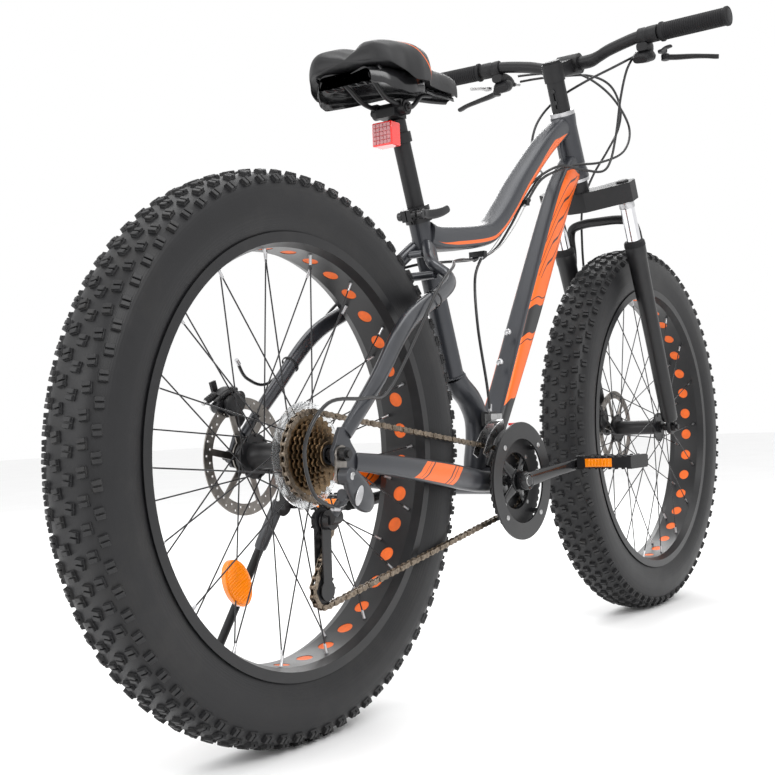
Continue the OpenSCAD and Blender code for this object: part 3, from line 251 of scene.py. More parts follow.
# ---------------------------------------------------------------- materials
class Nodes:
    def __init__(self, name):
        self.mat = bpy.data.materials.new(name)
        self.mat.use_nodes = True
        self.t = self.mat.node_tree
        self.bsdf = self.t.nodes["Principled BSDF"]
        self.coord = self.t.nodes.new("ShaderNodeTexCoord")

    def link(self, value, socket):
        if isinstance(value, (int, float)):
            socket.default_value = value
        elif isinstance(value, (tuple, list)):
            socket.default_value = tuple(value) + ((1.0,
                ) if len(value) == 3 and len(socket.default_value) == 4 else ())
        else:
            self.t.links.new(value, socket)

    def math(self, op, a, b=0.0, c=None, clamp=False):
        n = self.t.nodes.new("ShaderNodeMath")
        n.operation = op
        n.use_clamp = clamp
        self.link(a, n.inputs[0])
        self.link(b, n.inputs[1])
        if c is not None:
            self.link(c, n.inputs[2])
        return n.outputs[0]

    def noise(self, scale, detail=3.0, rough=0.55, vector=None, stretch=None):
        n = self.t.nodes.new("ShaderNodeTexNoise")
        n.inputs["Scale"].default_value = scale
        n.inputs["Detail"].default_value = detail
        n.inputs["Roughness"].default_value = rough
        v = vector or self.coord.outputs["Object"]
        if stretch:
            m = self.t.nodes.new("ShaderNodeMapping")
            m.inputs["Scale"].default_value = stretch
            self.t.links.new(v, m.inputs["Vector"])
            v = m.outputs[0]
        self.t.links.new(v, n.inputs["Vector"])
        return n.outputs[0]

    def ramp(self, value, stops):
        n = self.t.nodes.new("ShaderNodeValToRGB")
        e = n.color_ramp.elements
        while len(e) < len(stops):
            e.new(0.5)
        for i, (pos, v) in enumerate(stops):
            e[i].position = pos
            e[i].color = (v, v, v, 1) if isinstance(v, (int, float)) else (*v, 1)
        self.link(value, n.inputs[0])
        return n.outputs[0]

    def mix(self, fac, a, b):
        n = self.t.nodes.new("ShaderNodeMix")
        n.data_type = "RGBA"
        self.link(fac, n.inputs[0])
        self.link(a, n.inputs[6])
        self.link(b, n.inputs[7])
        return n.outputs[2]

    def xyz(self, output="Object"):
        n = self.t.nodes.new("ShaderNodeSeparateXYZ")
        self.t.links.new(self.coord.outputs[output], n.inputs[0])
        return n.outputs

    def over(self, mask, colour):
        """Lays colour over the base colour where mask is 1."""
        base = self.bsdf.inputs["Base Color"]
        self.link(self.mix(mask, base.links[0].from_socket, colour), base)

    def between(self, v, lo, hi, soft=0.004):
        """1 where lo < v < hi, with a soft edge."""
        up = self.math("DIVIDE", self.math("SUBTRACT", v, lo), soft, clamp=True)
        down = self.math("DIVIDE", self.math("SUBTRACT", hi, v), soft, clamp=True)
        return self.math("MULTIPLY", up, down)

    def bump(self, height, strength=0.3, distance=0.001):
        n = self.t.nodes.new("ShaderNodeBump")
        n.inputs["Strength"].default_value = strength
        n.inputs["Distance"].default_value = distance
        self.link(height, n.inputs["Height"])
        if self.bsdf.inputs["Normal"].is_linked:
            self.t.links.new(self.bsdf.inputs["Normal"].links[0].from_socket, n.inputs["Normal"])
        self.t.links.new(n.outputs[0], self.bsdf.inputs["Normal"])
        return self

    def set(self, **values):
        for k, v in values.items():
            self.link(v, self.bsdf.inputs[k.replace("_", " ")])
        return self


def scaled(c, k):
    return tuple(min(1.0, x * k) for x in c)


def material(name, colour, rough=0.5, metal=0.0, vary=0.18, scale=45.0, grain=900.0, depth=0.12, dust=0.0,
    stretch=None, **more):
    """A finish with uneven colour and gloss, a fine surface grain and a little dust in broad areas."""
    n = Nodes(name)
    broad = n.noise(scale, 4.0, stretch=stretch)
    colour_out = n.mix(n.ramp(broad, [(0.3, 0), (0.7, 1)]), scaled(colour, 1 - vary),
        scaled(colour, 1 + vary))
    if dust:
        d = n.ramp(n.noise(scale * 0.35, 6.0, 0.7), [(0.5, 0), (0.8, dust)])
        colour_out = n.mix(d, colour_out, (0.3, 0.27, 0.23))
    fine = n.noise(grain, 2.0, stretch=stretch)
    n.set(Base_Color=colour_out, Metallic=metal, Roughness=n.math("ADD",
        n.math("MULTIPLY", broad, rough * 0.3), rough * 0.85, clamp=True), **more)
    n.bump(fine, depth, 0.0006)
    return n


GREY = (0.027, 0.029, 0.035)
ORANGE = (0.84, 0.13, 0.004)
BLACK = (0.012, 0.012, 0.013)


def finish(*a, **k):
    return material(*a, **k).mat


M = {}
M["black_metal"] = finish("black_metal", (0.007, 0.007, 0.008), 0.36, 0.0, dust=0.02,
    Specular_IOR_Level=0.42)
M["satin_black"] = finish("satin_black", (0.007, 0.007, 0.008), 0.44, 0.0, dust=0.02,
    Specular_IOR_Level=0.35)
M["plastic"] = finish("black_plastic", (0.006, 0.006, 0.007), 0.48, 0.0, grain=1600, depth=0.25,
    Specular_IOR_Level=0.35)
M["gloss"] = finish("gloss_black_plastic", (0.010, 0.010, 0.011), 0.16, 0.0, scale=20, depth=0.05)
M["steel"] = finish("bright_steel", (0.42, 0.42, 0.42), 0.28, 1.0, scale=90)
M["dull_steel"] = finish("disc_steel", (0.22, 0.205, 0.19), 0.32, 1.0, scale=120, dust=0.25)
M["chrome"] = finish("chrome", (0.78, 0.78, 0.80), 0.07, 1.0, vary=0.05, depth=0.02)
M["alloy"] = finish("alloy", (0.48, 0.48, 0.49), 0.33, 1.0, scale=70)
M["cog"] = finish("cog_steel", (0.17, 0.115, 0.065), 0.34, 1.0, vary=0.5, scale=160, dust=0.2)
M["chain"] = finish("chain_steel", (0.19, 0.155, 0.12), 0.3, 1.0, vary=0.5, scale=220)
M["spoke"] = finish("black_spoke", (0.03, 0.03, 0.032), 0.33, 0.6, scale=80)
M["rubber"] = finish("grip_rubber", (0.006, 0.006, 0.007), 0.62, 0.0, grain=1500, depth=0.4,
    Specular_IOR_Level=0.3)
M["cable"] = finish("cable_housing", (0.010, 0.010, 0.011), 0.3, 0.0, depth=0.05)
# Amber finish with a faint emission: a painted glow on the wheel reflector and pedal lenses, which give off
# no light of their own.
M["amber"] = finish("amber", (0.90, 0.24, 0.0), 0.18, 0.0, vary=0.1, Coat_Weight=0.8,
    Emission_Color=(1.0, 0.35, 0.0), Emission_Strength=0.02)
M["guard"] = finish("guard_plastic", (0.012, 0.012, 0.013), 0.34, 0.0, dust=0.03, Specular_IOR_Level=0.4)
M["grey_part"] = finish("grey_part", (0.045, 0.047, 0.052), 0.3, 0.2, scale=60)
M["stay"] = finish("stay_paint", (0.030, 0.032, 0.038), 0.3, 0.3, scale=30, Coat_Weight=0.5,
    Coat_Roughness=0.12)
M["frame"] = finish("frame_paint", GREY, 0.36, 0.25, scale=25, vary=0.1, dust=0.01, Coat_Weight=0.2,
    Coat_Roughness=0.3)
M["tape"] = finish("rim_tape", (0.80, 0.13, 0.008), 0.55, 0.0, vary=0.12, scale=70, grain=1800, depth=0.3)
M["clear"] = Nodes("clear_plastic").set(Base_Color=(0.93, 0.95, 0.96), Roughness=0.06, IOR=1.45,
    Transmission_Weight=0.93, Alpha=0.55).mat
# Red finish with a faint emission: a painted glow on the rear reflector lens and derailleur accent, which
# give off no light of their own.
M["red"] = finish("reflector_red", (0.85, 0.012, 0.008), 0.14, 0.0, vary=0.1, Coat_Weight=1.0,
    Emission_Color=(1.0, 0.02, 0.01), Emission_Strength=0.02)
M["pale_red"] = finish("reflector_rear", (0.42, 0.12, 0.13), 0.3, 0.0, vary=0.15, scale=120,
    Coat_Weight=0.5)


# ---------------------------------------------------------------- painted tubes with their decals
def painted(name, base, decal):
    """Paint with a decal: decal(n, u, side, q) gives a list of (mask, colour) laid over the paint in turn."""
    n = material(name, base, 0.36, 0.25, scale=25, vary=0.1, dust=0.01, Coat_Weight=0.2, Coat_Roughness=0.3)
    uv = n.xyz("UV")
    turn = n.math("MULTIPLY", uv[1], 2 * math.pi)
    across = n.math("COSINE", turn)
    height = n.math("SINE", turn)
    for mask, c in decal(n, uv[0], across, height):
        n.over(mask, c)
    return n.mat


def top_decal(n, u, across, height):
    flank = n.math("ABSOLUTE", across)
    wide = n.ramp(u, [(0.03, 0.02), (0.12, 0.16), (0.5, 0.2), (0.72, 0.3), (0.86, 0.42), (0.965, 0.0)])
    low = n.math("SUBTRACT", -0.30, wide)
    band = n.between(height, low, n.math("ADD", low, n.math("MULTIPLY", wide, 1.8)), 0.03)
    return [(n.math("MULTIPLY", band, n.between(u, 0.02, 0.965, 0.01)), ORANGE),
            (n.math("MULTIPLY", n.between(flank, 0.6, 2.0, 0.02),
                n.math("MULTIPLY", n.between(height, -0.12, -0.085, 0.01), n.between(u, 0.5, 0.93, 0.01))),
                    BLACK)]


def down_decal(n, u, across, height):
    flank = n.between(n.math("ABSOLUTE", across), 0.66, 2.0, 0.03)
    q = n.math("ADD", u, n.math("MULTIPLY", height, 0.045))
    body = n.math("MULTIPLY", flank, n.between(q, 0.2, 0.955, 0.004))
    out = [(body, ORANGE)]
    steep = n.math("ADD", height, n.math("MULTIPLY", n.math("SUBTRACT", u, 0.8), 4.2))
    upper = n.math("MULTIPLY", flank, n.between(u, 0.56, 0.95, 0.004))
    for a in (-0.75, -0.45, -0.15, 0.15, 0.45):
        out.append((n.math("MULTIPLY", upper, n.between(steep, a, a + 0.07, 0.02)), BLACK))
    for a, b in ((0.40, 0.49), (0.51, 0.516), (0.378, 0.384), (0.0, 0.205)):
        out.append((n.math("MULTIPLY", flank, n.between(q, a, b, 0.002)), BLACK))
    return out


def stay_decal(n, u, across, height):
    flank = n.between(n.math("ABSOLUTE", across), 0.6, 2.0, 0.03)
    q = n.math("ADD", u, n.math("MULTIPLY", height, -0.05))
    return [(n.math("MULTIPLY", flank, n.between(q, 0.40, 0.66, 0.003)), ORANGE)] + [
        (n.math("MULTIPLY", flank, n.between(q, a, b, 0.002)), BLACK) for a,
            b in ((0.43, 0.437), (0.452, 0.462), (0.60, 0.61), (0.625, 0.63))]


M["top_paint"] = painted("top_tube_paint", GREY, top_decal)
M["down_paint"] = painted("down_tube_paint", GREY, down_decal)
M["chainstay_paint"] = painted("chainstay_paint", GREY, stay_decal)


def along(p, q, t, off):
    d = unit(q - p)
    return p + (q - p) * t + off * np.array([-d[2], 0, d[0]])


TOP = [[0, 0, 22, 21], [0.06, -21, 22, 20.5], [0.27, -62, 22, 19], [0.36, -66, 22, 18.5],
    [0.47, -53, 22, 18.5], [0.61, -30, 21, 19], [0.83, -4, 19, 19.5], [1, 3, 17, 20]]
DOWN = [[0, 0, 24, 13], [0.18, -4, 23, 15], [0.48, 0, 22, 24], [0.8, 7, 20.5, 27], [0.92, 4, 20, 25.5],
    [1, -6, 18, 24]]


def tube_rows(p, q, table):
    return smooth([[*along(p, q, t, off), w, h] for t, off, w, h in table], 10)


Geo().tube(tube_rows(seat(417, 4), steer(-6, 0, 654), TOP), 40, square=0.7).build("top_tube_shell",
    M["top_paint"], "frame", "top_tube", "frame_paint")
down_rows = tube_rows(np.array([-84.0, 0, 328]), steer(-4, 0, 588), DOWN)
Geo().tube(down_rows, 48, square=0.55).build("down_tube_shell", M["down_paint"], "frame", "down_tube",
    "frame_paint")

g = Geo()
g.lathe([(454, 15.5), (455, 17), (182, 17), (182, 15.5)], seat(0), seat(1) - seat(0), 64)
g.tube(smooth([[*seat(d, o), r, r] for d, o, r in ((183, 0, 18.2), (176, 3, 19), (162, 10, 19.6),
    (132, 31, 20), (96, 40, 20), (62, 30, 20), (30, 10, 20), (8, 2, 20))], 8), 40)
g.lathe([(-50, 18), (-50, 21.2), (-49.2, 22), (49.2, 22), (50, 21.2), (50, 18)], BB, UP_Y, 72)
for k in range(44):
    a = 2 * math.pi * k / 44
    c = seat(182.5, 0) + 18.4 * (math.cos(a) * UP_Y + math.sin(a) * unit(seat(0, 1) - seat(0)))
    g.lathe([(-1.7, 0.5), (-1.2, 1.6), (0, 2.1), (1.2, 1.6), (1.7, 0.5)], c,
        unit(seat(0, 1) - seat(0)) * -math.sin(a) + UP_Y * math.cos(a), 8)
g.build("seat_tube_shell", M["frame"], "frame", "seat_tube", "frame_paint", bevel=0.6)

g = Geo()
g.lathe([(552, 20), (552, 26), (553.5, 26.6), (566, 26.2), (574, 24), (654, 23), (667, 24.2), (674.6, 24.6),
    (676, 23.8), (676, 20)], steer(0, 0, 0), steer(0, 0, 1) - steer(0, 0, 0), 80)
g.tube(smooth([[*p, 3.4, 4.5] for p in (steer(-21, 0, 572), steer(-30, 0, 590), steer(-34, 0, 612),
    steer(-30, 0, 632), steer(-21, 0, 646))], 4), 14, square=0.8)
g.build("head_tube_shell", M["frame"], "frame", "head_tube", "frame_paint", bevel=0.5)

CHAINSTAY = [[-102, 39, 308, 9, 15], [-152, 50, 311, 8.5, 17], [-215, 64, 318, 9, 18],
    [-302, 76, 331, 9.5, 18], [-392, 84, 344, 9, 16], [-472, 88, 355, 8, 14], [-548, 88, 364, 6.5, 12]]
SEATSTAY = [[-230, 12, 685, 9, 11], [-254, 33, 655, 9, 11], [-250.3, 61, 620, 9, 12],
    [-397, 80, 553, 9, 13], [-492, 88, 467, 8, 12], [-564, 88, 401, 6, 10]]
PLATE = [(-13, -7), (-9, -14), (4, -17), (34, -22), (37, -6), (36, 2), (26, 14), (20, 26), (14, 34),
    (4, 35), (-2, 26), (-8, 13), (-14, 5)]


def mirrored_rows(rows, side):
    return [[r[0], side * r[1], *r[2:]] for r in rows]


g, h = Geo(), Geo()
for side in (1, -1):
    g.tube(smooth(mirrored_rows(CHAINSTAY, side), 10), 32, square=0.8)
    lo, hi = sorted((side * 85.0, side * 91.0))
    g.prism([(x, z) for x, z in PLATE], -hi, -lo, slot=1, at=axes((1, 0, 0), (0, 0, 1), (0, -1, 0), REAR))
    h.tube(smooth(mirrored_rows(SEATSTAY, side), 12), 28, square=0.9)
g.rod((-176, -47, 313), (-176, 47, 313), 7, n=28, slot=1)
h.rod((-253, -38, 635.5), (-253, 38, 635.5), 7, n=28)
h.rod((-244, -12, 671), (-244, 12, 671), 6, n=28)
g.build("chainstay_pair", [M["chainstay_paint"], M["frame"]], "frame", "chainstays", "frame_paint",
    bevel=0.7)
h.build("seatstay_pair", M["stay"], "frame", "seatstays", "stay_paint", bevel=0.5)

g = Geo()
for z, y0 in ((561, 33), (508, 0)):
    p = along(np.array([-84.0, 0, 328]), steer(-4, 0, 588), 0, 0)
    t = unit(steer(-4, 0, 588) - p)
    up = np.array([-t[2], 0, t[0]])
    g.lathe([(-3, 6.2), (-1, 6.4), (0.4, 5.8), (1.4, 4.6), (1.9, 2.6), (0.6, 2.2), (0.6, 0.2), (-3, 0.2)],
        np.array([y0, 0, z]) - up * 1.5, up, 32)
g.build("bottle_bolts", M["alloy"], "frame")


# ---------------------------------------------------------------- wheels
TREAD_ROWS = 76          # knobs round the tyre in each of its six rows
SPOKES_A_SIDE = 18
SPOKE_END_R = 272.2      # where a spoke enters the rim
SPOKE_END_Y = 19
TYRE_HALF = [(36.2, 281.3), (37.2, 291), (42.5, 303), (46, 316), (46.9, 328), (46, 341), (42.6, 353),
    (34, 364), (20, 369.4), (0, 370.8)]


def wheel_frame(centre, a):
    """Unit vectors out from the wheel's centre and round it, at angle a."""
    return np.array([math.sin(a), 0, math.cos(a)]), np.array([math.cos(a), 0, -math.sin(a)])


def tyre(name, centre, body, node, slot):
    half = smooth([(y, 0, r) for y, r in TYRE_HALF], 4)[:, (0, 2)]
    outer = [tuple(p) for p in half] + [(-y, r) for y, r in half[::-1][1:]]
    inner = [(y * 0.92, r - 2.6 if r > 300 else r + 0.6) for y, r in outer[::-1]]
    g = Geo().lathe(outer + inner, centre, UP_Y, 160)
    g.build(name + "_casing", M["tyre_side"], body, node, slot)
    g = Geo()
    count = TREAD_ROWS
    rows = [(9.5, 0, 14, 12.5, 5.0), (26, 0.5, 13.5, 12, 5.2), (39.0, 0.0, 14, 12, 4.6)]
    for y, shift, long, wide, tall in rows:
        for side in (1, -1):
            i = min(range(len(half)), key=lambda j: abs(half[j][0] - y) + (1000 if half[j][1] < 330 else 0))
            r = half[i][1]
            dy, dr = half[max(i - 1, 0)] - half[min(i + 1, len(half) - 1)]
            ny, nr = unit([-dr, dy]) if dy > 0 else unit([dr, -dy])
            if nr < 0:
                ny, nr = -ny, -nr
            stagger = side * 0.25 if y < 12 else (0.5 if side < 0 else 0)
            for k in range(count):
                a = 2 * math.pi * (k + shift + stagger) / count
                out, round_ = wheel_frame(centre, a)
                normal = out * nr + UP_Y * (side * abs(ny))
                across = np.cross(normal, round_)
                p = centre + out * (r - 1.4) + UP_Y * (side * half[i][0])
                m = axes(round_, across, normal, p)
                twist = m @ Matrix.Rotation(rad((9 if y < 12 else -7) * side), 4, "Z")
                g.block((-long / 2, -wide / 2, 0), (long / 2, wide / 2, tall * 0.62), at=twist, taper=0.93)
                for lo, hi in ((-long / 2 + 0.5, -0.75), (0.75, long / 2 - 0.5)):
                    g.block((lo, -wide / 2 + 0.5, tall * 0.55), (hi, wide / 2 - 0.5, tall + 1.2), at=twist,
                        taper=0.9)
    g.build(name + "_knobs", M["tyre_knob"], body, (), slot, bevel=0.5, segments=1)


n = material("tyre_sidewall", (0.006, 0.006, 0.007), 0.46, 0.0, scale=35, grain=700, depth=0.22, dust=0.03,
    Specular_IOR_Level=0.36)
wave = n.t.nodes.new("ShaderNodeTexWave")
wave.bands_direction = "Y"
wave.inputs["Scale"].default_value = 260
wave.inputs["Distortion"].default_value = 0.4
n.link(n.coord.outputs["Object"], wave.inputs["Vector"])
n.bump(wave.outputs[1], 0.12, 0.0006)
M["tyre_side"] = n.mat
M["tyre_knob"] = finish("tyre_tread", (0.009, 0.009, 0.010), 0.5, 0.0, scale=60, grain=1300, depth=0.3,
    dust=0.05, Specular_IOR_Level=0.4)


def rim_look(name, centre):
    """Dark rim metal, with the orange strip seen through the holes."""
    n = material(name, (0.005, 0.005, 0.006), 0.34, 0.0, scale=60, dust=0.02, Specular_IOR_Level=0.42)
    o = n.xyz()
    dx = n.math("SUBTRACT", o[0], centre[0] * MM)
    dz = n.math("SUBTRACT", o[2], centre[2] * MM)
    r = n.math("SQRT", n.math("ADD", n.math("MULTIPLY", dx, dx), n.math("MULTIPLY", dz, dz)))
    strip = n.math("MULTIPLY", n.between(r, 0.27496, 0.2763, 0.00005),
        n.between(n.math("ABSOLUTE", o[1]), -1.0, 0.0256, 0.0001))
    n.over(strip, (0.75, 0.13, 0.01))
    return n.mat


def lay(node, mat, bevel=0.0, segments=2):
    """A CAD node that stays: its new finish, and softened edges."""
    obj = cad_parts[node]
    for i in range(len(obj.material_slots)):
        obj.material_slots[i].material = mat
    if bevel:
        weld = obj.modifiers.new("weld", "WELD")
        weld.merge_threshold = 1e-6
        mod = obj.modifiers.new("bevel", "BEVEL")
        mod.width = bevel * MM
        mod.segments = segments
        mod.limit_method = "ANGLE"
        mod.angle_limit = rad(32)
        mod.harden_normals = False
        obj.modifiers.new("even", "WEIGHTED_NORMAL").keep_sharp = True
    return obj


for name, centre in (("front", FRONT), ("rear", REAR)):
    body = name + "_wheel"
    tyre(name + "_tyre", centre, body, name + "_tyre", "tyre")
    lay(name + "_rim", rim_look(name + "_rim_metal", centre))
    lay(name + "_spokes", M["spoke"])
    Geo().lathe([(-25, 273.1), (25, 273.1), (25, 274.5), (-25, 274.5)], centre, UP_Y,
        216).build(name + "_rim_tape", M["tape"], body)
    lay(name + "_disc", M["dull_steel"])
    g = Geo()
    fl = {1: 46 if name == "front" else 52, -1: 46 if name == "front" else 30}
    flange_hole_r = 26 if name == "front" else 27
    for side in (1, -1):
        for k in range(SPOKES_A_SIDE):
            way = 1 if k % 2 == 0 else -1
            a = rad((2 * k + (0 if side > 0 else 1)) * 10)
            b = a + rad(62 * way)
            fy = side * (fl[side] + (4 if way == side else -2.7))
            p = centre + np.array([flange_hole_r * math.sin(b), fy, flange_hole_r * math.cos(b)])
            q = centre + np.array([SPOKE_END_R * math.sin(a), side * SPOKE_END_Y,
                SPOKE_END_R * math.cos(a)])
            d = unit(p - q)
            g.tube([[*(q + d * t), r, r] for t, r in ((0, 2.6), (1.5, 2.6), (2.5, 2.0), (13, 1.9),
                (14, 1.5))], 10, (0.1, 1, 0.1))
    g.build(name + "_nipples", M["alloy"], body)

lay("front_hub", M["black_metal"], 0.5)
lay("front_axle", M["black_metal"], 0.4)
lay("rear_axle", M["black_metal"], 0.4)

g = Geo()
g.lathe([(-30, 8), (-30, 16), (-27, 17.5), (30, 17.5), (49, 18), (52, 20), (52, 8)], REAR, UP_Y, 64)
for y in (52.0, -30.0):
    g.lathe([(y - 1.6, 16), (y - 1.6, 30), (y - 0.8, 31), (y + 0.8, 31), (y + 1.6, 30), (y + 1.6, 16)],
        REAR, UP_Y, 72)
g.lathe([(52, 10), (52, 20), (55, 22), (68.6, 22), (69.6, 21), (69.6, 10)], REAR, UP_Y, 64)
g.lathe([(-74, 9), (-74, 12.4), (-73, 13), (-31, 13), (-31, 9)], REAR, UP_Y, 48)
g.build("rear_hub_shell", M["black_metal"], "rear_wheel", "rear_hub", "black_metal", bevel=0.3)
g = Geo().lathe([(-37.2, 15), (-37.4, 50), (-36.6, 68), (-37.6, 70), (-36.4, 70.3), (-35.7, 68),
    (-36.2, 50), (-36.0, 15)], REAR, UP_Y, 96)
g.build("spoke_protector", M["clear"], "rear_wheel")

g = Geo()
oval = [(34 * math.cos(t), 22 * math.sin(t)) for t in np.linspace(0, 2 * math.pi, 64, endpoint=False)]
long_axis, short_axis = unit([0.50, 0, -0.87]), unit([0.87, 0, 0.50])
tag = axes(long_axis, short_axis, (0, 1, 0), (-648, 34, 214))
g.prism(oval, -4, 3, at=tag)
g.prism([(x * 0.9, y * 0.9) for x, y in oval], 2.8, 4.4, at=tag)
g.prism([(x * 0.9, y * 0.9) for x, y in oval], -5.4, -3.8, at=tag)
for k in range(13):
    a = -25.2 + k * 4.2
    h = 22 * 0.86 * math.sqrt(max(0.02, 1 - (a / 34 / 0.9) ** 2))
    for lo, hi in ((4.2, 5.3), (-6.3, -5.2)):
        g.block((a - 1.2, -h, lo), (a + 1.2, h, hi), at=tag)
g.build("wheel_reflector", M["amber"], "rear_wheel", bevel=0.4)


# ---------------------------------------------------------------- drivetrain
lay("freewheel", M["cog"], 0.25, 1)
lay("chainrings", M["satin_black"], 0.25, 1)
lay("chain_guard", M["guard"], 0.8)
lay("derailleur_hanger", M["dull_steel"], 0.4)
lay("front_derailleur_body", M["black_metal"], 0.8)
lay("front_derailleur_cage", M["steel"], 0.3)
lay("derailleur_cage", M["black_metal"], 0.5)
lay("rear_derailleur_link", M["grey_part"], 0.5)
lay("rear_derailleur_knuckle", M["black_metal"], 0.8)

# The four sprockets that the chain runs round: x, z, pitch radius, way it turns
PITCH = 12.7
STOPS = [(-92.0, 308.0, 48.65, 1), (-582.0, 375.0, 56.71, 1), (-566.0, 288.0, 22.54, -1),
    (-568.0, 197.0, 22.54, 1)]


def tangent(a, b):
    """Angle at which a taut line leaves wheel a for wheel b."""
    d = math.atan2(b[1] - a[1], b[0] - a[0])
    gap = math.hypot(b[0] - a[0], b[1] - a[1])
    reach = a[2] - b[2] if a[3] == b[3] else a[2] + b[2]
    return d - a[3] * math.acos(reach / gap)


loop = []
for i, s in enumerate(STOPS):
    nxt, prv = STOPS[(i + 1) % 4], STOPS[i - 1]
    go = tangent(s, nxt)
    d = math.atan2(s[1] - prv[1], s[0] - prv[0])
    gap = math.hypot(s[0] - prv[0], s[1] - prv[1])
    same = prv[3] == s[3]
    came = tangent(prv, s) if same else tangent(prv, s) + math.pi
    turn = s[3] * (go - came)
    while turn < 0:
        turn += 2 * math.pi
    while turn > 2 * math.pi:
        turn -= 2 * math.pi
    steps = max(8, int(turn * s[2] / 2))
    for k in range(steps + 1):
        a = came + s[3] * turn * k / steps
        loop.append((s[0] + s[2] * math.cos(a), s[1] + s[2] * math.sin(a)))
loop = np.array(loop)
step = np.linalg.norm(np.diff(np.vstack([loop, loop[:1]]), axis=0), axis=1)
total = step.sum()
links = int(round(total / PITCH / 2)) * 2
reach = np.concatenate([[0], np.cumsum(step)])
closed = np.vstack([loop, loop[:1]])


def chain_at(s):
    s = s % total
    x = np.interp(s, reach, closed[:, 0])
    z = np.interp(s, reach, closed[:, 1])
    return np.array([x, -45.5 - 13.5 * max(0, min(1, (x + 542) / 410)), z])


g = Geo()
for k in range(links):
    p, q = chain_at(total * k / links), chain_at(total * (k + 1) / links)
    t = unit(q - p)
    across = unit(UP_Y - t * t.dot(UP_Y))
    m = axes(t, np.cross(across, t), across, p)
    size = np.linalg.norm(q - p)
    plate = []
    for c, a0 in ((0, 90), (size, -90)):
        plate += [(c + 4 * math.cos(rad(a0 + a)), 4 * math.sin(rad(a0 + a))) for a in range(0, 181, 30)]
    waist = plate[:7] + [(size / 2, -2.9)] + plate[7:] + [(size / 2, 2.9)]
    out = 3.3 if k % 2 else 2.2
    for side in (1, -1):
        lo, hi = sorted((side * out, side * (out + 0.95)))
        g.prism(waist, lo, hi, at=m)
    g.rod(p - across * 2.1, p + across * 2.1, 3.6, n=14)
    g.rod(p - across * 4.7, p + across * 4.7, 1.7, n=10)
g.build("chain_links", M["chain"], "frame", "chain", "chain_steel", bevel=0.15, segments=1)

# Cranks: square-shouldered arms with round bosses, pedal screws and a fixing bolt
ARM = [[6, -92, 8, 13], [20, -92.6, 7, 12.5], [60, -96, 6.5, 11], [100, -101, 6.5, 10.3],
    [127.5, -106, 6.5, 10], [162, -110, 6.5, 10.5]]
g = Geo()
tilt = rad(7)
for side in (-1, 1):
    ex = np.array([-side * math.cos(tilt), 0, -side * math.sin(tilt)])
    rows = [[*(BB + ex * x + UP_Y * (y if side < 0 else -y)), ry, rz] for x, y, ry, rz in ARM]
    g.tube(smooth(rows, 6), 28, square=0.7)
    s = side
    g.lathe([(s * 82, 8), (s * 82, 14), (s * 84, 15.5), (s * 98, 15), (s * 100, 13.5), (s * 99, 10.5),
        (s * 97, 10), (s * 97, 0.2), (s * 90, 0.2)], BB, UP_Y, 56)
    g.lathe([(s * 96.5, 0.2), (s * 98.6, 0.2), (s * 98.6, 3.4), (s * 99.4, 4), (s * 99.4, 8), (s * 98.4, 9),
        (s * 96.5, 9)], BB, UP_Y, 40, slot=1)
    g.lathe([(s * 103, 5), (s * 103, 11), (s * 104.5, 12.2), (s * 115, 12.2), (s * 117, 10.6),
        (s * 117, 5)], BB + ex * 170, UP_Y, 48)
for k in range(4):
    a = rad(45 + 90 * k)
    d = np.array([math.cos(a), 0, math.sin(a)])
    rows = [[*(BB + d * r + UP_Y * y), ry, rz] for r, y, ry,
        rz in ((8, -76, 4, 11), (20, -74, 3.4, 9.5), (36, -70.5, 2.4, 7.5), (50, -69.5, 2.3, 7))]
    g.tube(smooth(rows, 4), 16, square=0.7)
    g.lathe([(-72.2, 0.2), (-74.2, 0.2), (-74.2, 2.5), (-73.6, 5), (-71.8, 5.4), (-71.0, 5.4),
        (-71.0, 0.2)], BB + d * 52, UP_Y, 24, slot=1)
g.lathe([(-100, 8), (100, 8), (100, 0.2), (-100, 0.2)], BB, UP_Y, 32)
g.lathe([(-80, 8), (-80, 18), (-72, 20), (-68, 20), (-67, 18), (-67, 8)], BB, UP_Y, 48)
g.build("crank_set_arms", [M["gloss"], M["steel"]], "crankset", "crank_arms", "black_metal", bevel=0.6)

# Screws that hold the chain guard
g = Geo()
for k in range(4):
    a = rad(45 + 90 * k)
    c = BB + np.array([math.cos(a), 0, math.sin(a)]) * 78
    g.lathe([(-87, 0.2), (-89.4, 0.2), (-89.4, 2), (-88.9, 3.8), (-87.9, 4.4), (-87, 4.4)], c, UP_Y, 20)
g.build("guard_screws", M["steel"], "crankset")

# Pedals keep their moulded frames and get lenses and grip pins
for side, name, c in ((-1, "pedal_right", (76.7, 0, 328.7)), (1, "pedal_left", (-260.7, 0, 287.3))):
    lay(name, M["plastic"], 1.2)
    g, h = Geo(), Geo()
    lo, hi = box_mm(name)
    yc = (lo[1] + hi[1]) / 2
    for fx in (1, -1):
        x = hi[0] if fx > 0 else lo[0]
        g.block((min(x - fx * 1.5, x + fx * 1.8), yc - 24, c[2] - 7),
            (max(x - fx * 1.5, x + fx * 1.8), yc + 24, c[2] + 7))
        for k in range(7):
            y = yc - 18 + 6 * k
            g.block((min(x + fx * 1.6, x + fx * 2.5), y - 2, c[2] - 5.6),
                (max(x + fx * 1.6, x + fx * 2.5), y + 2, c[2] + 5.6))
        for k in range(8):
            for up in (1, -1):
                h.block((min(x - fx * 8.4, x - fx * 1), yc - 42 + k * 12 - 1.8, c[2] + up * 10 - 1.4),
                    (max(x - fx * 8.4, x - fx * 1), yc - 42 + k * 12 + 1.8, c[2] + up * 10 + 1.4))
    g.build(name + "_lenses", M["amber"], name, bevel=0.5)
    h.build(name + "_teeth", M["plastic"], name, bevel=0.4, segments=1)

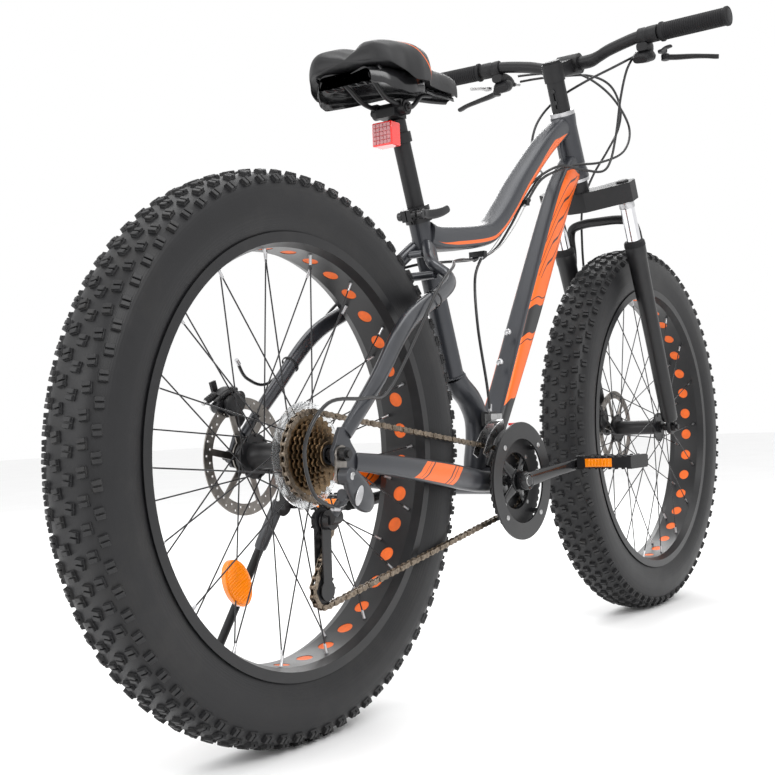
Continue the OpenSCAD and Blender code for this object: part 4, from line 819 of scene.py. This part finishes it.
# Jockey wheels with teeth
for name, c in (("upper_jockey_wheel", (-566, -45.5, 288)), ("lower_jockey_wheel", (-568, -45.5, 197))):
    g = Geo()
    teeth = []
    for k in range(11):
        for da, r in ((-0.32, 18.6), (-0.16, 19.0), (-0.07, 24.4), (0.07, 24.4), (0.16, 19.0)):
            a = 2 * math.pi * (k + da) / 11
            teeth.append((r * math.cos(a), r * math.sin(a)))
    flip = axes((1, 0, 0), (0, 0, 1), (0, -1, 0), c)
    g.prism(teeth, -1.0, 1.0, at=flip)
    g.lathe([(-2.6, 5), (-2.6, 14.5), (-1.2, 17.8), (1.2, 17.8), (2.6, 14.5), (2.6, 5)], c, UP_Y, 44)
    g.lathe([(-5.2, 0.2), (-5.2, 4.2), (-3.2, 7), (3.2, 7), (5.2, 4.2), (5.2, 0.2)], c, UP_Y, 24, slot=1)
    g.build(name + "_teeth", [M["plastic"], M["steel"]], name, name, "black_plastic", bevel=0.3)

# Rear derailleur body: a rounded dark shell with a bright oval plate on its face
g = Geo()
g.lathe([(-113, 0.2), (-113, 8), (-111, 11), (-97, 11.5), (-95.5, 10), (-95.5, 0.2)], (-585, 0, 347), UP_Y,
    40)
g.tube(smooth([[-585, -104, 347, 8, 10], [-578, -104, 338, 8, 11], [-574, -103, 326, 7.5, 10],
    [-574, -101, 319, 6, 8]], 6), 24, square=0.7)
g.lathe([(-114.2, 0.2), (-114.2, 4), (-113.6, 5.5), (-112.4, 5.5), (-112.4, 0.2)], (-585, 0, 347), UP_Y, 32,
    slot=1)
g.tube(smooth([[-583, -106, 350, 8, 12], [-574, -107, 336, 9, 17], [-562, -107, 322, 9.5, 19],
    [-549, -106, 311, 9, 15], [-541, -105, 305, 6, 9]], 8), 32, square=0.8)
g.build("rear_derailleur_shell", [M["grey_part"], M["steel"]], "frame", "rear_derailleur_body",
    "black_metal", bevel=0.4)
g = Geo()
oval = [(6.5 * math.cos(t), 14 * math.sin(t)) for t in np.linspace(0, 2 * math.pi, 32, endpoint=False)]
g.prism(oval, 0, 1.4, at=turned((0, -1, 0), (-577, -115.5, 322), -0.5))
g.build("derailleur_badge_plate", M["alloy"], "frame", bevel=0.4)

# Front derailleur accent
g = Geo()
g.block((-102, -71.4, 398), (-80, -69.8, 402))
g.build("front_derailleur_accent", M["red"], "front_derailleur_cage", bevel=0.3)

# ---------------------------------------------------------------- brakes
def caliper_piece(name, arm, body, arm_body, pivot, centre, y_disc, out_h):
    """Cast two-part caliper with its pad adjuster knob, mounting screws, cable arm and barrel adjuster."""
    lay(arm, M["satin_black"], 0.8)
    out = unit(np.array([pivot[0], 0, pivot[1]]) - centre)
    tan = np.array([out[2], 0, -out[0]])

    def at(t, o, y):
        return np.array([pivot[0], 0, pivot[1]]) + tan * t + out * o + UP_Y * (y_disc + y)

    g = Geo()
    for y, deep, wide, tall in ((7.5, 6.5, 19, 17), (-6, 4, 16, 15)):
        g.tube(smooth([[*at(-18, 4, y), deep * 0.8, tall * 0.55], [*at(-12, 2, y), deep, tall * 0.85],
            [*at(0, 0, y), deep * 1.1, tall], [*at(12, 2, y), deep, tall * 0.85],
                [*at(18, 4, y), deep * 0.8, tall * 0.55]], 6), 28, square=0.72)
    g.tube(smooth([[*at(-16, 16, 6), 9, 5], [*at(0, 20, 4), 11, 5.5], [*at(16, 16, 6), 9, 5]], 6), 20,
        square=0.75)
    g.lathe([(out_h - 4, 0.2), (out_h - 4, 14), (out_h - 2.5, 15), (out_h + 1, 14.4), (out_h + 3.4, 12.4),
        (out_h + 3.4, 0.2)], at(0, 0, 0), UP_Y, 48)
    for k in range(16):
        a = 2 * math.pi * k / 16
        g.rod(at(14.6 * math.cos(a), 14.6 * math.sin(a), out_h - 3.6),
            at(14.2 * math.cos(a), 14.2 * math.sin(a), out_h + 1), 1.2, n=8)
    for t in (-22, 22):
        g.lathe([(-2, 0.2), (-2, 7), (-0.8, 8), (9, 8), (10, 7), (10, 0.2)], at(t, 4, 0), UP_Y, 32)
        g.lathe([(9.5, 0.2), (12.6, 0.2), (12.6, 2.4), (14.4, 3), (14.6, 4.8), (13.4, 5.6), (9.5, 5.6)],
            at(t, 4, 0), UP_Y, 24, slot=1)
    tip, base = at(-34, 16, 11), at(-16, 20, 9)
    g.rod(base, tip, 4.6, 3.9, 24)
    g.rod(tip, tip + (tip - base) * 0.35, 3.0, 2.6, 16, slot=1)
    for k in range(4):
        p = base + (tip - base) * (0.25 + 0.2 * k)
        g.lathe([(-0.9, 0.2), (-0.9, 5.1), (0.9, 5.1), (0.9, 0.2)], p, unit(tip - base), 20)
    g.build(name + "_casting", [M["black_metal"], M["steel"]], body, name, "black_metal", bevel=0.4)


caliper_piece("rear_caliper", "rear_brake_arm", "frame", "rear_brake_arm", (-604.9, 445.4), REAR, 70.5, 17)
caliper_piece("front_caliper", "front_brake_arm", "fork_lowers", "front_brake_arm", (510.9, 395.4), FRONT,
    52.5, 15)
g = Geo().tube(smooth([[-566, 88, 420, 3, 9], [-578, 86, 432, 3.5, 10], [-592, 80, 446, 4, 9]], 6), 18,
    square=0.7)
g.build("rear_caliper_bracket", M["satin_black"], "frame", bevel=0.4)
g = Geo().tube(smooth([[*steer(6, 74, 60), 5, 10], [*steer(22, 75, 56), 6, 12],
    [*steer(34, 76, 60), 7, 12]], 6), 18, square=0.7)
g.build("front_caliper_bracket", M["satin_black"], "fork_lowers", bevel=0.4)

# ---------------------------------------------------------------- fork
lay("fork_crown", M["satin_black"], 2.4, 3)
lay("stanchions", M["chrome"])
lay("fork_springs", M["black_metal"])
lay("bearing_cups", M["alloy"], 0.5)
up = unit(steer(0, 0, 1) - steer(0, 0, 0))
fwd = unit(steer(1, 0, 0) - steer(0, 0, 0))
g, h, seals = Geo(), Geo(), Geo()
for side in (1, -1):
    base = steer(37.5, side * 77, 0)
    g.lathe([(18, 0.2), (18, 14), (22, 16.2), (60, 16.8), (200, 17.1), (300, 18), (340, 18.6), (372, 19.4),
        (378, 20.6), (394, 20.6), (394, 14.5), (378, 14.5), (60, 12), (60, 0.2)], base, up, 64)
    seals.lathe([(393.5, 14.1), (393.5, 20.9), (395, 21.2), (403, 20.4), (405.5, 18), (406.5, 14.1)], base,
        up, 64)
    g.lathe([(side * y, r) for y, r in ((67.5, 0.2), (67.5, 14), (68.5, 14.8), (75.8, 14.8), (76.6, 14),
        (76.6, 0.2))], FRONT, UP_Y, 48)
    p, q = steer(44, side * 72, 2), steer(38, side * 74.5, 46)
    g.tube(smooth([[*p, 4.5, 13.5], [*steer(42, side * 73, 22), 5.5, 13], [*q, 8, 14]], 5), 20, side=UP_Y,
        square=0.7)
arch = [(41.5, 77, 345.5, 9, 9), (60, 76.5, 362, 8, 8.5), (68, 74.5, 388, 7.5, 8),
    (70, 72, 419.5, 7.5, 8.5), (70.5, 63, 437.5, 7.5, 9), (70.5, 37, 444, 7.2, 9), (70, 0, 445, 7, 9)]
full = arch + [(u, -y, w, a, b) for u, y, w, a, b in arch[::-1][1:]]
h.tube(smooth([[*steer(u, y, w), a, b] for u, y, w, a, b in full], 6), 24, side=(0, 0.2, 1), square=0.8)
g.build("fork_lower_legs", M["black_metal"], "fork_lowers", "fork_lowers", "black_metal", bevel=0.5)
h.build("fork_arch", M["black_metal"], "fork_lowers", bevel=0.4)
seals.build("fork_seals", M["rubber"], "fork_lowers", bevel=0.3)
g = Geo()
for side in (1, -1):
    g.lathe([(484, 14.1), (484, 15.2), (474, 15.2), (472, 14.1)], steer(37.5, side * 77, 0), up, 56)
    g.lathe([(524.5, 0.2), (524.5, 12.5), (526.5, 12.5), (527.5, 11), (527.5, 0.2)],
        steer(37.5, side * 77, 0), up, 40, slot=1)
g.build("leg_bands", [M["alloy"], M["plastic"]], "steering", bevel=0.2)

# ---------------------------------------------------------------- cockpit
lay("stem", M["satin_black"], 1.6, 3)
g = Geo()
for y in (-15, 15):
    for w in (748, 770):
        p = steer(98.5, y, w)
        g.lathe([(-7, 0.2), (0.6, 0.2), (0.6, 2.2), (2, 2.6), (2.3, 4.2), (1.6, 4.8), (-7, 4.8)], p, fwd,
            24)
for w in (704, 726):
    g.lathe([(-6, 0.2), (0.6, 0.2), (0.6, 2.2), (1.8, 2.6), (2, 4), (-6, 4.4)], steer(-18, 0, w), -fwd, 24)
g.lathe([(0, 0.2), (0, 16.8), (2.6, 16.4), (3.4, 14), (3.4, 5.5), (1.4, 4.5), (1.4, 0.2)], steer(0, 0, 776),
    up, 48)
g.build("stem_bolts", M["gloss"], "steering", bevel=0.2)


def bar_end(y):
    a, b = np.array([-8, 142, 22.0]), np.array([-21, 325, 20.0])
    return a + (b - a) * (abs(y) - 142) / 183


def bar_side(p, side):
    return BAR + np.array([p[0], side * p[1], p[2]])


line = [(-21, -325, 20), (-14.5, -230, 21), (-10.1, -172, 21.7), (-8, -142, 22), (-5, -88, 12),
    (-1.5, -62, 4.5), (0, -43, 0), (0, -15, 0)]
line = line + [(x, -y, z) for x, y, z in line[::-1]]
pts = smooth([[*(BAR + np.array(p)), 12.7 if abs(p[1]) < 50 else 11.1,
    12.7 if abs(p[1]) < 50 else 11.1] for p in line], 10)
Geo().tube(pts, 40, side=(1, 0, 0)).build("handlebar_tube", M["satin_black"], "steering", "handlebar",
    "black_metal", bevel=0.5)

g, ends = Geo(), Geo()
for side in (1, -1):
    a, b = bar_side(bar_end(194), side), bar_side(bar_end(326), side)
    ax = unit(b - a)
    size = np.linalg.norm(b - a)
    prof = [(0, 11.3), (0, 17.4), (1, 18.2), (5, 18.2), (6.5, 16.6)]
    t = 9.0
    while t < size - 8:
        prof += [(t, 15.2), (t + 0.7, 16.2), (t + 2.6, 16.2), (t + 3.3, 15.2)]
        t += 4.4
    prof += [(size - 7, 16.4), (size - 5, 17.6), (size - 1, 17.6), (size, 16.8), (size, 11.3)]
    g.lathe(prof, a, ax, 56)
    ends.lathe([(size - 2, 0.2), (size + 1.4, 0.2), (size + 1.8, 9), (size + 0.4, 12.6), (size - 2, 12.6)],
        a, ax, 40)
g.build("grip_pair", M["rubber"], "steering", "grips", "grip_rubber")
ends.build("bar_plugs", M["plastic"], "steering")

g, h = Geo(), Geo()
for side in (1, -1):
    d = unit(bar_side(bar_end(200), side) - bar_side(bar_end(140), side))
    c = bar_side(bar_end(172), side)
    g.lathe([(-22, 11.3), (-22, 14.6), (-20.5, 15.6), (-9, 15.6), (-7, 14.4), (-5, 14.4), (-3, 15.6),
        (16, 15.6), (17.5, 14.6), (17.5, 11.3)], c, d, 48)
    g.tube(smooth([[*bar_side([-16, 156, 1], side), 11, 8], [*bar_side([4, 156, 4], side), 14, 11],
        [*bar_side([20, 152, 2], side), 12, 10], [*bar_side([34, 150, -2], side), 8, 8]], 6), 28,
            square=0.65)
    g.tube(smooth([[*bar_side([-12, 150, -22], side), 15, 7], [*bar_side([0, 152, -14], side), 18, 12],
        [*bar_side([12, 154, -10], side), 17, 11], [*bar_side([24, 158, -12], side), 12, 7]], 6), 28,
            square=0.7)
    g.rod(bar_side([30, 149, -3], side), bar_side([38, 143, -3], side), 5.2, 4.2, 24)
    h.lathe([(-3.0, 0.2), (-3.0, 3.4), (-2.2, 4.4), (2, 4.4), (2, 0.2)], bar_side([10, 156, 15], side),
        (0, 0, -1), 24)
    h.rod(bar_side([38, 143, -3], side), bar_side([47, 137, -3], side), 3.2, 2.6, 18)
g.build("control_shells", M["plastic"], "steering", "control_units", "black_plastic", bevel=0.8)
h.build("control_fittings", M["steel"], "steering")

LEVER = [[0, 0, -6, 5, 6], [8, 20, -8, 5, 6.5], [10, 50, -12, 4.4, 6], [6, 76, -18, 4, 5.6],
    [10, 92, -21, 4.2, 5.8], [12, 99, -22, 4, 5]]
for side, word in ((1, "left"), (-1, "right")):
    p = bar_side([32, 183, -8], side)
    g = Geo().tube(smooth([[*(p + np.array([x, side * y, z])), b, a] for x, y, z, a, b in LEVER], 8), 24,
        side=(1, 0, 0), square=0.75)
    g.lathe([(-12, 0.2), (-12, 7), (-11, 8), (-1.3, 8), (-0.3, 7), (-0.3, 0.2)], p, (0, 0, 1), 32)
    g.lathe([(-0.4, 0.2), (1.4, 0.2), (1.4, 3.2), (0.6, 4.6), (-0.4, 4.6)], p, (0, 0, 1), 24, slot=1)
    g.build("brake_blade_" + word, [M["satin_black"], M["steel"]], "brake_lever_" + word,
        "brake_lever_" + word, "black_metal", bevel=0.4)
    p = bar_side([4, 189, -8], side)
    g = Geo().tube(smooth([[*(p + np.array([x, side * y, z])), 2.6, r] for x, y, z,
        r in ((0, 0, -2.5, 6), (-14, 10, -2.5, 5.4), (-22, 20, -3, 6.4), (-24, 26, -3, 5))], 6), 18,
            side=(0, 0, 1), square=0.8)
    g.lathe([(-5, 0.2), (-5, 8.4), (-0.6, 9), (0, 8), (0, 0.2)], p, (0, 0, 1), 32)
    g.build("thumb_blade_" + word, M["steel"] if side > 0 else M["plastic"], "shift_lever_" + word,
        "shift_lever_" + word, "bright_steel", bevel=0.3)

# ---------------------------------------------------------------- cables
R_HOUSING = 2.4
FRONT_BRAKE = [[360, 128, 1090], [378, 95, 1094], [396, 50, 1094], [420, 0, 1090], [450, -30, 1070],
    [480, -36, 1030], [492, -24, 990], [496, 4, 950], [484, 34, 900], [468, 52, 840], [464, 54.8, 760],
        [470, 54.8, 680], [486, 54.8, 580], [492, 57, 510], [484, 66, 452]]
FRONT_SHIFT = [[356, 130, 1101], [378, 100, 1104], [396, 60, 1102], [412, 10, 1090], [440, -36, 1045],
    [450, -66, 980], [410, -70, 925], [340, -52, 895], [268, -34, 882], [215, -22, 866], [165, -10, 842],
        [105, -10, 792]]
FRONT_SHIFT_LOW = [[-60, -10, 682], [-110, -24, 640], [-128, -36, 560], [-118, -42, 470], [-112, -43, 424]]
REAR_BRAKE = [[348, -128, 1088], [322, -96, 1068], [306, -40, 1046], [300, 20, 1020], [280, 50, 980],
    [258, 54, 930], [236, 34, 886], [205, 8, 862], [160, 0, 836], [105, 0, 790], [58, 0, 745], [0, 0, 700],
        [-70, 2, 678], [-150, 16, 668], [-206, 34, 660], [-258, 66, 640], [-330, 90, 600], [-400, 98, 540],
            [-480, 106, 478], [-530, 106, 482], [-560, 97, 505]]
REAR_SHIFT = [[350, -130, 1094], [330, -118, 1060], [340, -98, 1010], [346, -84, 950], [336, -74, 895],
    [316, -64, 872], [275, -44, 872], [210, -24, 872], [160, 10, 836], [105, 10, 788]]
REAR_SHIFT_LOW = [[-60, 6, 679], [-150, -26, 668], [-206, -44, 658], [-262, -76, 642], [-330, -90, 602],
    [-480, -106, 462], [-560, -122, 446], [-650, -128, 440], [-690, -122, 390], [-664, -112, 330],
        [-610, -106, 308]]
bent = [Geo().pipe(FRONT_BRAKE, R_HOUSING, 12, 8).build("front_brake_housing", M["cable"], None,
    "control_cables", "cable_housing")]
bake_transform(bent[0])
for name, route, start, end in (("front_shift_housing", FRONT_SHIFT, (0.43, 0, 0.94), (0.23, 0, 0.868)),
                                ("rear_brake_housing", REAR_BRAKE, (0.345, 0, 1.06), (0.215, 0, 0.87)),
                                ("rear_shift_housing", REAR_SHIFT, (0.345, 0, 1.0), (0.215, 0, 0.868))):
    obj = Geo().pipe(route, R_HOUSING, 12, 8).build(name, M["cable"], None)
    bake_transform(obj)
Geo().pipe(FRONT_SHIFT_LOW, R_HOUSING, 12, 8).pipe(REAR_SHIFT_LOW, R_HOUSING, 12, 8).build("lower_housings",
    M["cable"], "frame")
g = Geo().pipe([(105, -10, 792), (60, -10, 748), (0, -10, 704), (-60, -10, 682)], 0.9, 8,
    8).pipe([(105, 10, 788), (58, 10, 743), (0, 10, 698), (-60, 6, 679)], 0.9, 8, 8)
g.pipe([(-112, -43, 424), (-108, -34, 414)], 0.9, 8, 4).pipe([(-610, -106, 308), (-590, -104, 312)], 0.9, 8,
    4)
g.build("bare_cables", M["steel"], "frame")
g, ties = Geo(), Geo()
for a, b in (((111, -10, 797), (99, -10, 787)), ((111, 10, 793), (99, 10, 783)),
    ((-54, -10, 684), (-68, -11, 678)), ((-54, 6, 681), (-68, 6, 679)),
        ((-111, -43, 434), (-112, -43, 422)), ((-622, -107, 309), (-608, -106, 307)),
            ((-556, 98, 502), (-563, 96, 508))):
    g.rod(a, b, 3.1, 2.9, 16)
for a, b in (((115, -10, 800), (105, -10, 792)), ((115, 10, 796), (105, 10, 788)),
    ((-50, -10, 686), (-60, -10, 681)), ((-50, 6, 683), (-60, 6, 679))):
    ties.rod(a, b, 4.6, 4.6, 16)
g.build("cable_ferrules", M["alloy"], "frame")
Geo().rod((483, 65, 462), (484, 66.5, 450), 3.1, 2.9, 16).build("front_brake_ferrule", M["alloy"],
    "fork_lowers")
for x, z in ((104, 806), (-56, 700)):
    ties.block((x - 5, -15, z - 18), (x + 5, 15, z - 8))
for side, share in ((1, 0.42), (1, 0.72), (-1, 0.5)):
    rows = smooth(mirrored_rows(SEATSTAY, side), 12)
    r = rows[int(share * (len(rows) - 1))]
    t = unit(rows[int(share * (len(rows) - 1)) + 1][:3] - r[:3])
    across = unit(UP_Y - t * t.dot(UP_Y))
    w = np.cross(t, across)
    ring = []
    for a in np.linspace(0, 2 * math.pi, 25):
        room = r[3] + 5.5 * (math.cos(a) * side > 0) + 0.6     # the housing lies on the outer side
        ring.append(r[:3] + across * room * math.cos(a) + w * (r[4] + 0.9) * math.sin(a))
    ties.tube([[*p, 0.8, 2.2] for p in ring], 8, side=across * 0.2 + w, square=0.6)
ties.build("cable_stops_and_ties", M["plastic"], "frame", bevel=0.4)

# ---------------------------------------------------------------- seat
lay("seat_clamp", M["black_metal"], 0.6)
lay("seatpost", M["satin_black"], 0.5)
g = Geo()
cam = np.array([-263.9, -25.0, 729.1])
g.lathe([(-30, 0.2), (-30, 6), (-28.5, 7.4), (-21, 7.4), (-20, 6), (-20, 0.2)], (cam[0], 0, cam[2]), UP_Y,
    36)
g.tube(smooth([[*(cam + np.array(p)), a, b] for p, a, b in (((2, -1, 0), 5, 7), ((12, -2, 0), 4.4, 7.5),
    ((26, -7, 2), 3.4, 7.4), ((40, -11, 6), 2.9, 6.8), ((54, -13, 12), 2.5, 6), ((58, -13, 14), 2, 4.4))],
        8), 24, square=0.75)
g.rod((cam[0], -26, cam[2]), (cam[0], 18, cam[2]), 2.5, n=16, slot=1)
g.lathe([(9, 0.2), (9, 6.4), (10, 7.2), (15, 7.2), (17, 5), (17, 0.2)], (cam[0], 0, cam[2]), UP_Y, 28)
g.build("seat_clamp_handle", [M["gloss"], M["steel"]], "seat_clamp_lever", "seat_clamp_lever",
    "black_metal", bevel=0.4)

# Saddle stations: share of the length, share of the half width, crown height
SADDLE_REAR, SADDLE_LEN, SADDLE_HALF, SADDLE_BASE, NOSE_RISE = -402.8, 285, 95, 922, 18
STATION = np.array([[0, .62, 30], [.02, .78, 37], [.08, .94, 44], [.18, 1, 47], [.3, .93, 44],
    [.42, .66, 38], [.55, .42, 34], [.7, .32, 33], [.85, .27, 33], [.95, .2, 30], [1, .1, 20]])


def saddle_surface(s, t):
    """Point of the cover's outside: s from rear to nose, t from right edge over the crown to the left."""
    w = SADDLE_HALF * np.interp(s, STATION[:, 0], STATION[:, 1])
    hgt = np.interp(s, STATION[:, 0], STATION[:, 2])
    y = w * power(math.sin(t * math.pi / 2), 0.85)
    z = SADDLE_BASE + NOSE_RISE * s + hgt * power(math.cos(t * math.pi / 2), 0.62)
    z -= np.interp(s, [0, 0.06, 0.14, 0.3, 0.42, 1], [2, 12, 24, 18, 6, 3]) * max(0.0,
        (abs(t) - 0.62) / 0.38) ** 1.5
    z += 10 * max(0.0, 1 - s / 0.09) * abs(t) ** 3
    rear = max(0.0, 1 - s / 0.5)
    z -= (9.0 * math.exp(-(y / 15) ** 2)) * rear ** 0.6 + 4 * math.exp(-(y / 9) ** 2) * max(0,
        1 - abs(s - 0.5) / 0.32)
    x = SADDLE_REAR + SADDLE_LEN * s
    k = max(0.0, 1 - s / 0.16)
    x -= 20 * k * math.exp(-((abs(y) - 46) / 27) ** 2) - 3 * k * math.exp(-(y / 12) ** 2)
    return np.array([x, y, z])


def saddle_grid(rows_s, cols, drop, inset):
    """Rings of a closed form: the outside over the crown and back underneath."""
    rings = []
    for s in rows_s:
        top = [saddle_surface(s, t) for t in np.linspace(-1, 1, cols)]
        edge = SADDLE_BASE + NOSE_RISE * s
        under = []
        for t in np.linspace(1, -1, cols)[1:-1]:
            p = saddle_surface(s, t)
            low = saddle_surface(s, 1)[2]
            under.append(np.array([p[0], p[1] * (1 - inset),
                low + (edge + 6 - low) * (1 - abs(t) ** 3) - drop * (1 - t * t)]))
        rings.append(top + under)
    return rings


def skin(g, rings, slot=0):
    n = len(rings[0])
    verts = [p for r in rings for p in r]
    faces = [(i * n + k, i * n + (k + 1) % n, (i + 1) * n + (k + 1) % n,
        (i + 1) * n + k) for i in range(len(rings) - 1) for k in range(n)]
    faces += [tuple(range(n - 1, -1, -1)), tuple((len(rings) - 1) * n + k for k in range(n))]
    return g.add(verts, faces, slot)


n = material("saddle_cover_skin", (0.008, 0.008, 0.009), 0.48, 0.0, scale=40, grain=1900, depth=0.3,
    dust=0.02, Specular_IOR_Level=0.4)
o = n.xyz()
rise = n.math("DIVIDE", n.math("SUBTRACT", o[2], 0.912), 0.058, clamp=True)
line = n.math("ADD", o[0], n.math("ADD", 0.314, n.math("MULTIPLY", n.math("MULTIPLY", rise, rise), 0.082)))
flank = n.between(n.math("ABSOLUTE", o[1]), 0.034, 1.0, 0.004)
band = n.math("MULTIPLY", flank, n.between(line, -0.0022, 0.0030, 0.0006))
n.over(band, ORANGE)
n.bump(n.math("ADD", n.between(line, -0.0046, -0.0034, 0.0005), n.between(line, 0.0042, 0.0054, 0.0005)),
    0.8, 0.0015)
M["saddle_cover"] = n.mat
rows_s = np.concatenate([np.linspace(0, 0.06, 7), np.linspace(0.08, 0.94, 32), np.linspace(0.955, 1, 7)])
rings = saddle_grid(rows_s, 45, 5, 0.02)
for i, k in ((0, 0.86), (1, 0.95), (-1, 0.72), (-2, 0.9)):
    c = np.mean(rings[i], axis=0)
    rings[i] = [c + (p - c) * k for p in rings[i]]
cover = skin(Geo(), rings).build("saddle_skin", M["saddle_cover"], "seatpost", "saddle_cover",
    "saddle_cover", angle=75, subdiv=1)

g = Geo()
rings = []
for s in np.linspace(0.0, 0.97, 44):
    w = SADDLE_HALF * np.interp(s, STATION[:, 0], STATION[:, 1]) - 6.5
    deep = np.interp(s, [0, 0.05, 0.14, 0.34, 0.5, 1], [20, 30, 36, 24, 12, 8])
    z = 923 + 18 * s
    x = -400 + 283 * s
    k = max(0.0, 1 - s / 0.16)
    ring = []
    for t in np.linspace(-1, 1, 33):
        y = w * math.sin(t * math.pi / 2)
        px = x - 16 * k * math.exp(-((abs(y) - 46) / 27) ** 2)
        ring.append(np.array([px, y * (0.90 + 0.1 * (1 - abs(t))), z - deep * abs(t) ** 5 - 3]))
    inner = [p + np.array([0, -np.sign(p[1]) * 2.4 if abs(p[1]) > 3 else 0, 2.6]) for p in ring[::-1]]
    rings.append(ring + inner)
skin(g, rings)
for k in range(9):
    y = -56 + 14 * k
    g.tube(smooth([[-398 - 12 * math.exp(-((abs(y) - 46) / 27) ** 2), y, 921, 1.6, 3],
        [-384, y, 912, 1.6, 5], [-360, y, 915, 1.6, 3]], 4), 10)
g.build("saddle_shell", M["gloss"], "seatpost", (), "gloss_black_plastic", angle=60)
g = Geo()
for side in (1, -1):
    g.pipe([(-398, side * 27, 921), (-372, side * 24, 909), (-345, side * 22, 894), (-318, side * 22, 890),
        (-282, side * 22, 890), (-262, side * 20, 900), (-235, side * 14, 918), (-200, side * 10, 926)],
            3.6, 16, 8)
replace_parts(g.build("saddle_rails", M["satin_black"], "seatpost"), "saddle_base")
g = Geo()
for side in (1, -1):
    g.lathe([(side * 28, 0.2), (side * 33, 0.2), (side * 33, 5), (side * 31.5, 7.4), (side * 28, 7.4)],
        (-298.8, 0, 886), UP_Y, 6)
    g.block((-312, side * 22 - 6, 886), (-286, side * 22 + 6, 896))
g.rod((-298.8, -36, 886), (-298.8, 36, 886), 4, n=20)
g.build("saddle_clamp_hardware", M["black_metal"], "seatpost", bevel=0.8)

lo, hi = box_mm("rear_reflector")
g = Geo()
c = seat(570)
g.lathe([(-8, 13.7), (-8, 17), (8, 17), (8, 13.7)], c, seat(1) - seat(0), 48)
g.block((c[0] - 20, -7, c[2] - 6), (c[0] - 12, 7, c[2] + 6))
g.build("reflector_ring", M["plastic"], "seatpost", bevel=0.6)
g = Geo()
back = lo[0]
g.block((back + 1.5, -18, 828), (back + 26, 18, 864))
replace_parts(g.build("reflector_lens", M["red"], "seatpost", bevel=2.0, segments=3), "rear_reflector")
g = Geo()
for iy in range(5):
    for iz in range(5):
        g.block((back + 0.4, -16.2 + iy * 6.5, 830.4 + iz * 6.3),
            (back + 1.8, -10.0 + iy * 6.5, 836.4 + iz * 6.3))
g.build("reflector_cells", M["pale_red"], "seatpost", bevel=0.6, segments=1)

# ---------------------------------------------------------------- kickstand
lay("kickstand_bracket", M["satin_black"], 1.0)
pivot, foot = np.array([-475.0, 106, 300]), np.array([-530.0, 235, 9])
d = unit(foot - pivot)
g = Geo()
g.lathe([(-6, 0.2), (-6, 8), (-3, 9.5), (60, 9.5), (68, 9), (70, 7.5), (70, 0.2)], pivot, d, 40, slot=0)
size = np.linalg.norm(foot - pivot)
g.lathe([(66, 0.2), (66, 6.6), (size - 20, 6.4), (size - 14, 7.2), (size - 14, 0.2)], pivot, d, 32, slot=1)
g.lathe([(size - 26, 0.2), (size - 26, 8.4), (size - 8, 9.2), (size - 1, 8), (size + 4, 5.5),
    (size + 6.5, 0.2)], pivot, d, 32, slot=1)
g.build("kickstand_tube", [M["grey_part"], M["satin_black"]], "kickstand_leg", "kickstand_leg",
    "black_metal", bevel=0.3)

# ---------------------------------------------------------------- camera, floor and light
# Any CAD node still without a finish of its own
for node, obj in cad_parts.items():
    finish_now = obj.material_slots[0].material if obj.material_slots else None
    if finish_now and not obj.hide_render and finish_now not in list(M.values()):
        if not finish_now.name.endswith("_rim_metal"):
            lay(node, M["satin_black"], 0.4)

cam_data = bpy.data.cameras.new("camera")
cam_data.lens, cam_data.sensor_width, cam_data.shift_x, cam_data.shift_y = 56.12, 36.0, -0.01656, 0.01046
camera = bpy.data.objects.new("camera", cam_data)
yaw, pitch, roll = 0.5991, 0.0166, -0.0418
f = Vector((math.cos(pitch) * math.cos(yaw), math.cos(pitch) * math.sin(yaw), math.sin(pitch)))
r = f.cross(Vector((0, 0, 1))).normalized()
u = r.cross(f)
r2, u2 = r * math.cos(roll) + u * math.sin(roll), -r * math.sin(roll) + u * math.cos(roll)
camera.matrix_world = axes(r2, u2, -f, (-1.8144, -1.0302, 0.4212))
bpy.context.scene.collection.objects.link(camera)
bpy.context.scene.camera = camera

bm = bmesh.new()
bmesh.ops.create_grid(bm, x_segments=2, y_segments=2, size=14)
mesh = bpy.data.meshes.new("floor")
bm.to_mesh(mesh)
bm.free()
floor = bpy.data.objects.new("floor", mesh)
bpy.context.scene.collection.objects.link(floor)
n = Nodes("pale_floor")
n.set(Base_Color=n.mix(n.ramp(n.noise(3.0), [(0.3, 0), (0.7, 1)]), (0.90, 0.90, 0.90), (0.93, 0.93, 0.93)),
    Roughness=0.75)
mesh.materials.append(n.mat)

world = bpy.data.worlds.new("studio")
world.use_nodes = True
world.node_tree.nodes["Background"].inputs[0].default_value = (1.0, 1.0, 1.0, 1)
world.node_tree.nodes["Background"].inputs[1].default_value = 1.0
bpy.context.scene.world = world
bpy.context.scene.view_settings.view_transform = "Standard"
bpy.context.scene.view_settings.look = "None"


def lamp(name, place, target, size, power_w, tint=(1, 1, 1)):
    data = bpy.data.lights.new(name, "AREA")
    data.shape = "RECTANGLE"
    data.size, data.size_y = size
    data.energy = power_w
    data.color = tint
    obj = bpy.data.objects.new(name, data)
    obj.location = place
    obj.rotation_euler = (Vector(target) - Vector(place)).to_track_quat("-Z", "Y").to_euler()
    bpy.context.scene.collection.objects.link(obj)


lamp("key", (-1.6, -2.6, 2.8), (0, 0, 0.5), (2.4, 1.6), 70)
lamp("fill", (-3.2, 1.2, 1.6), (0, 0, 0.5), (2.2, 1.8), 30)
lamp("top", (0.2, 0.2, 3.4), (0, 0, 0.5), (3.0, 2.0), 40)
lamp("rim", (2.6, 1.8, 2.2), (0, 0, 0.6), (1.8, 1.8), 40)
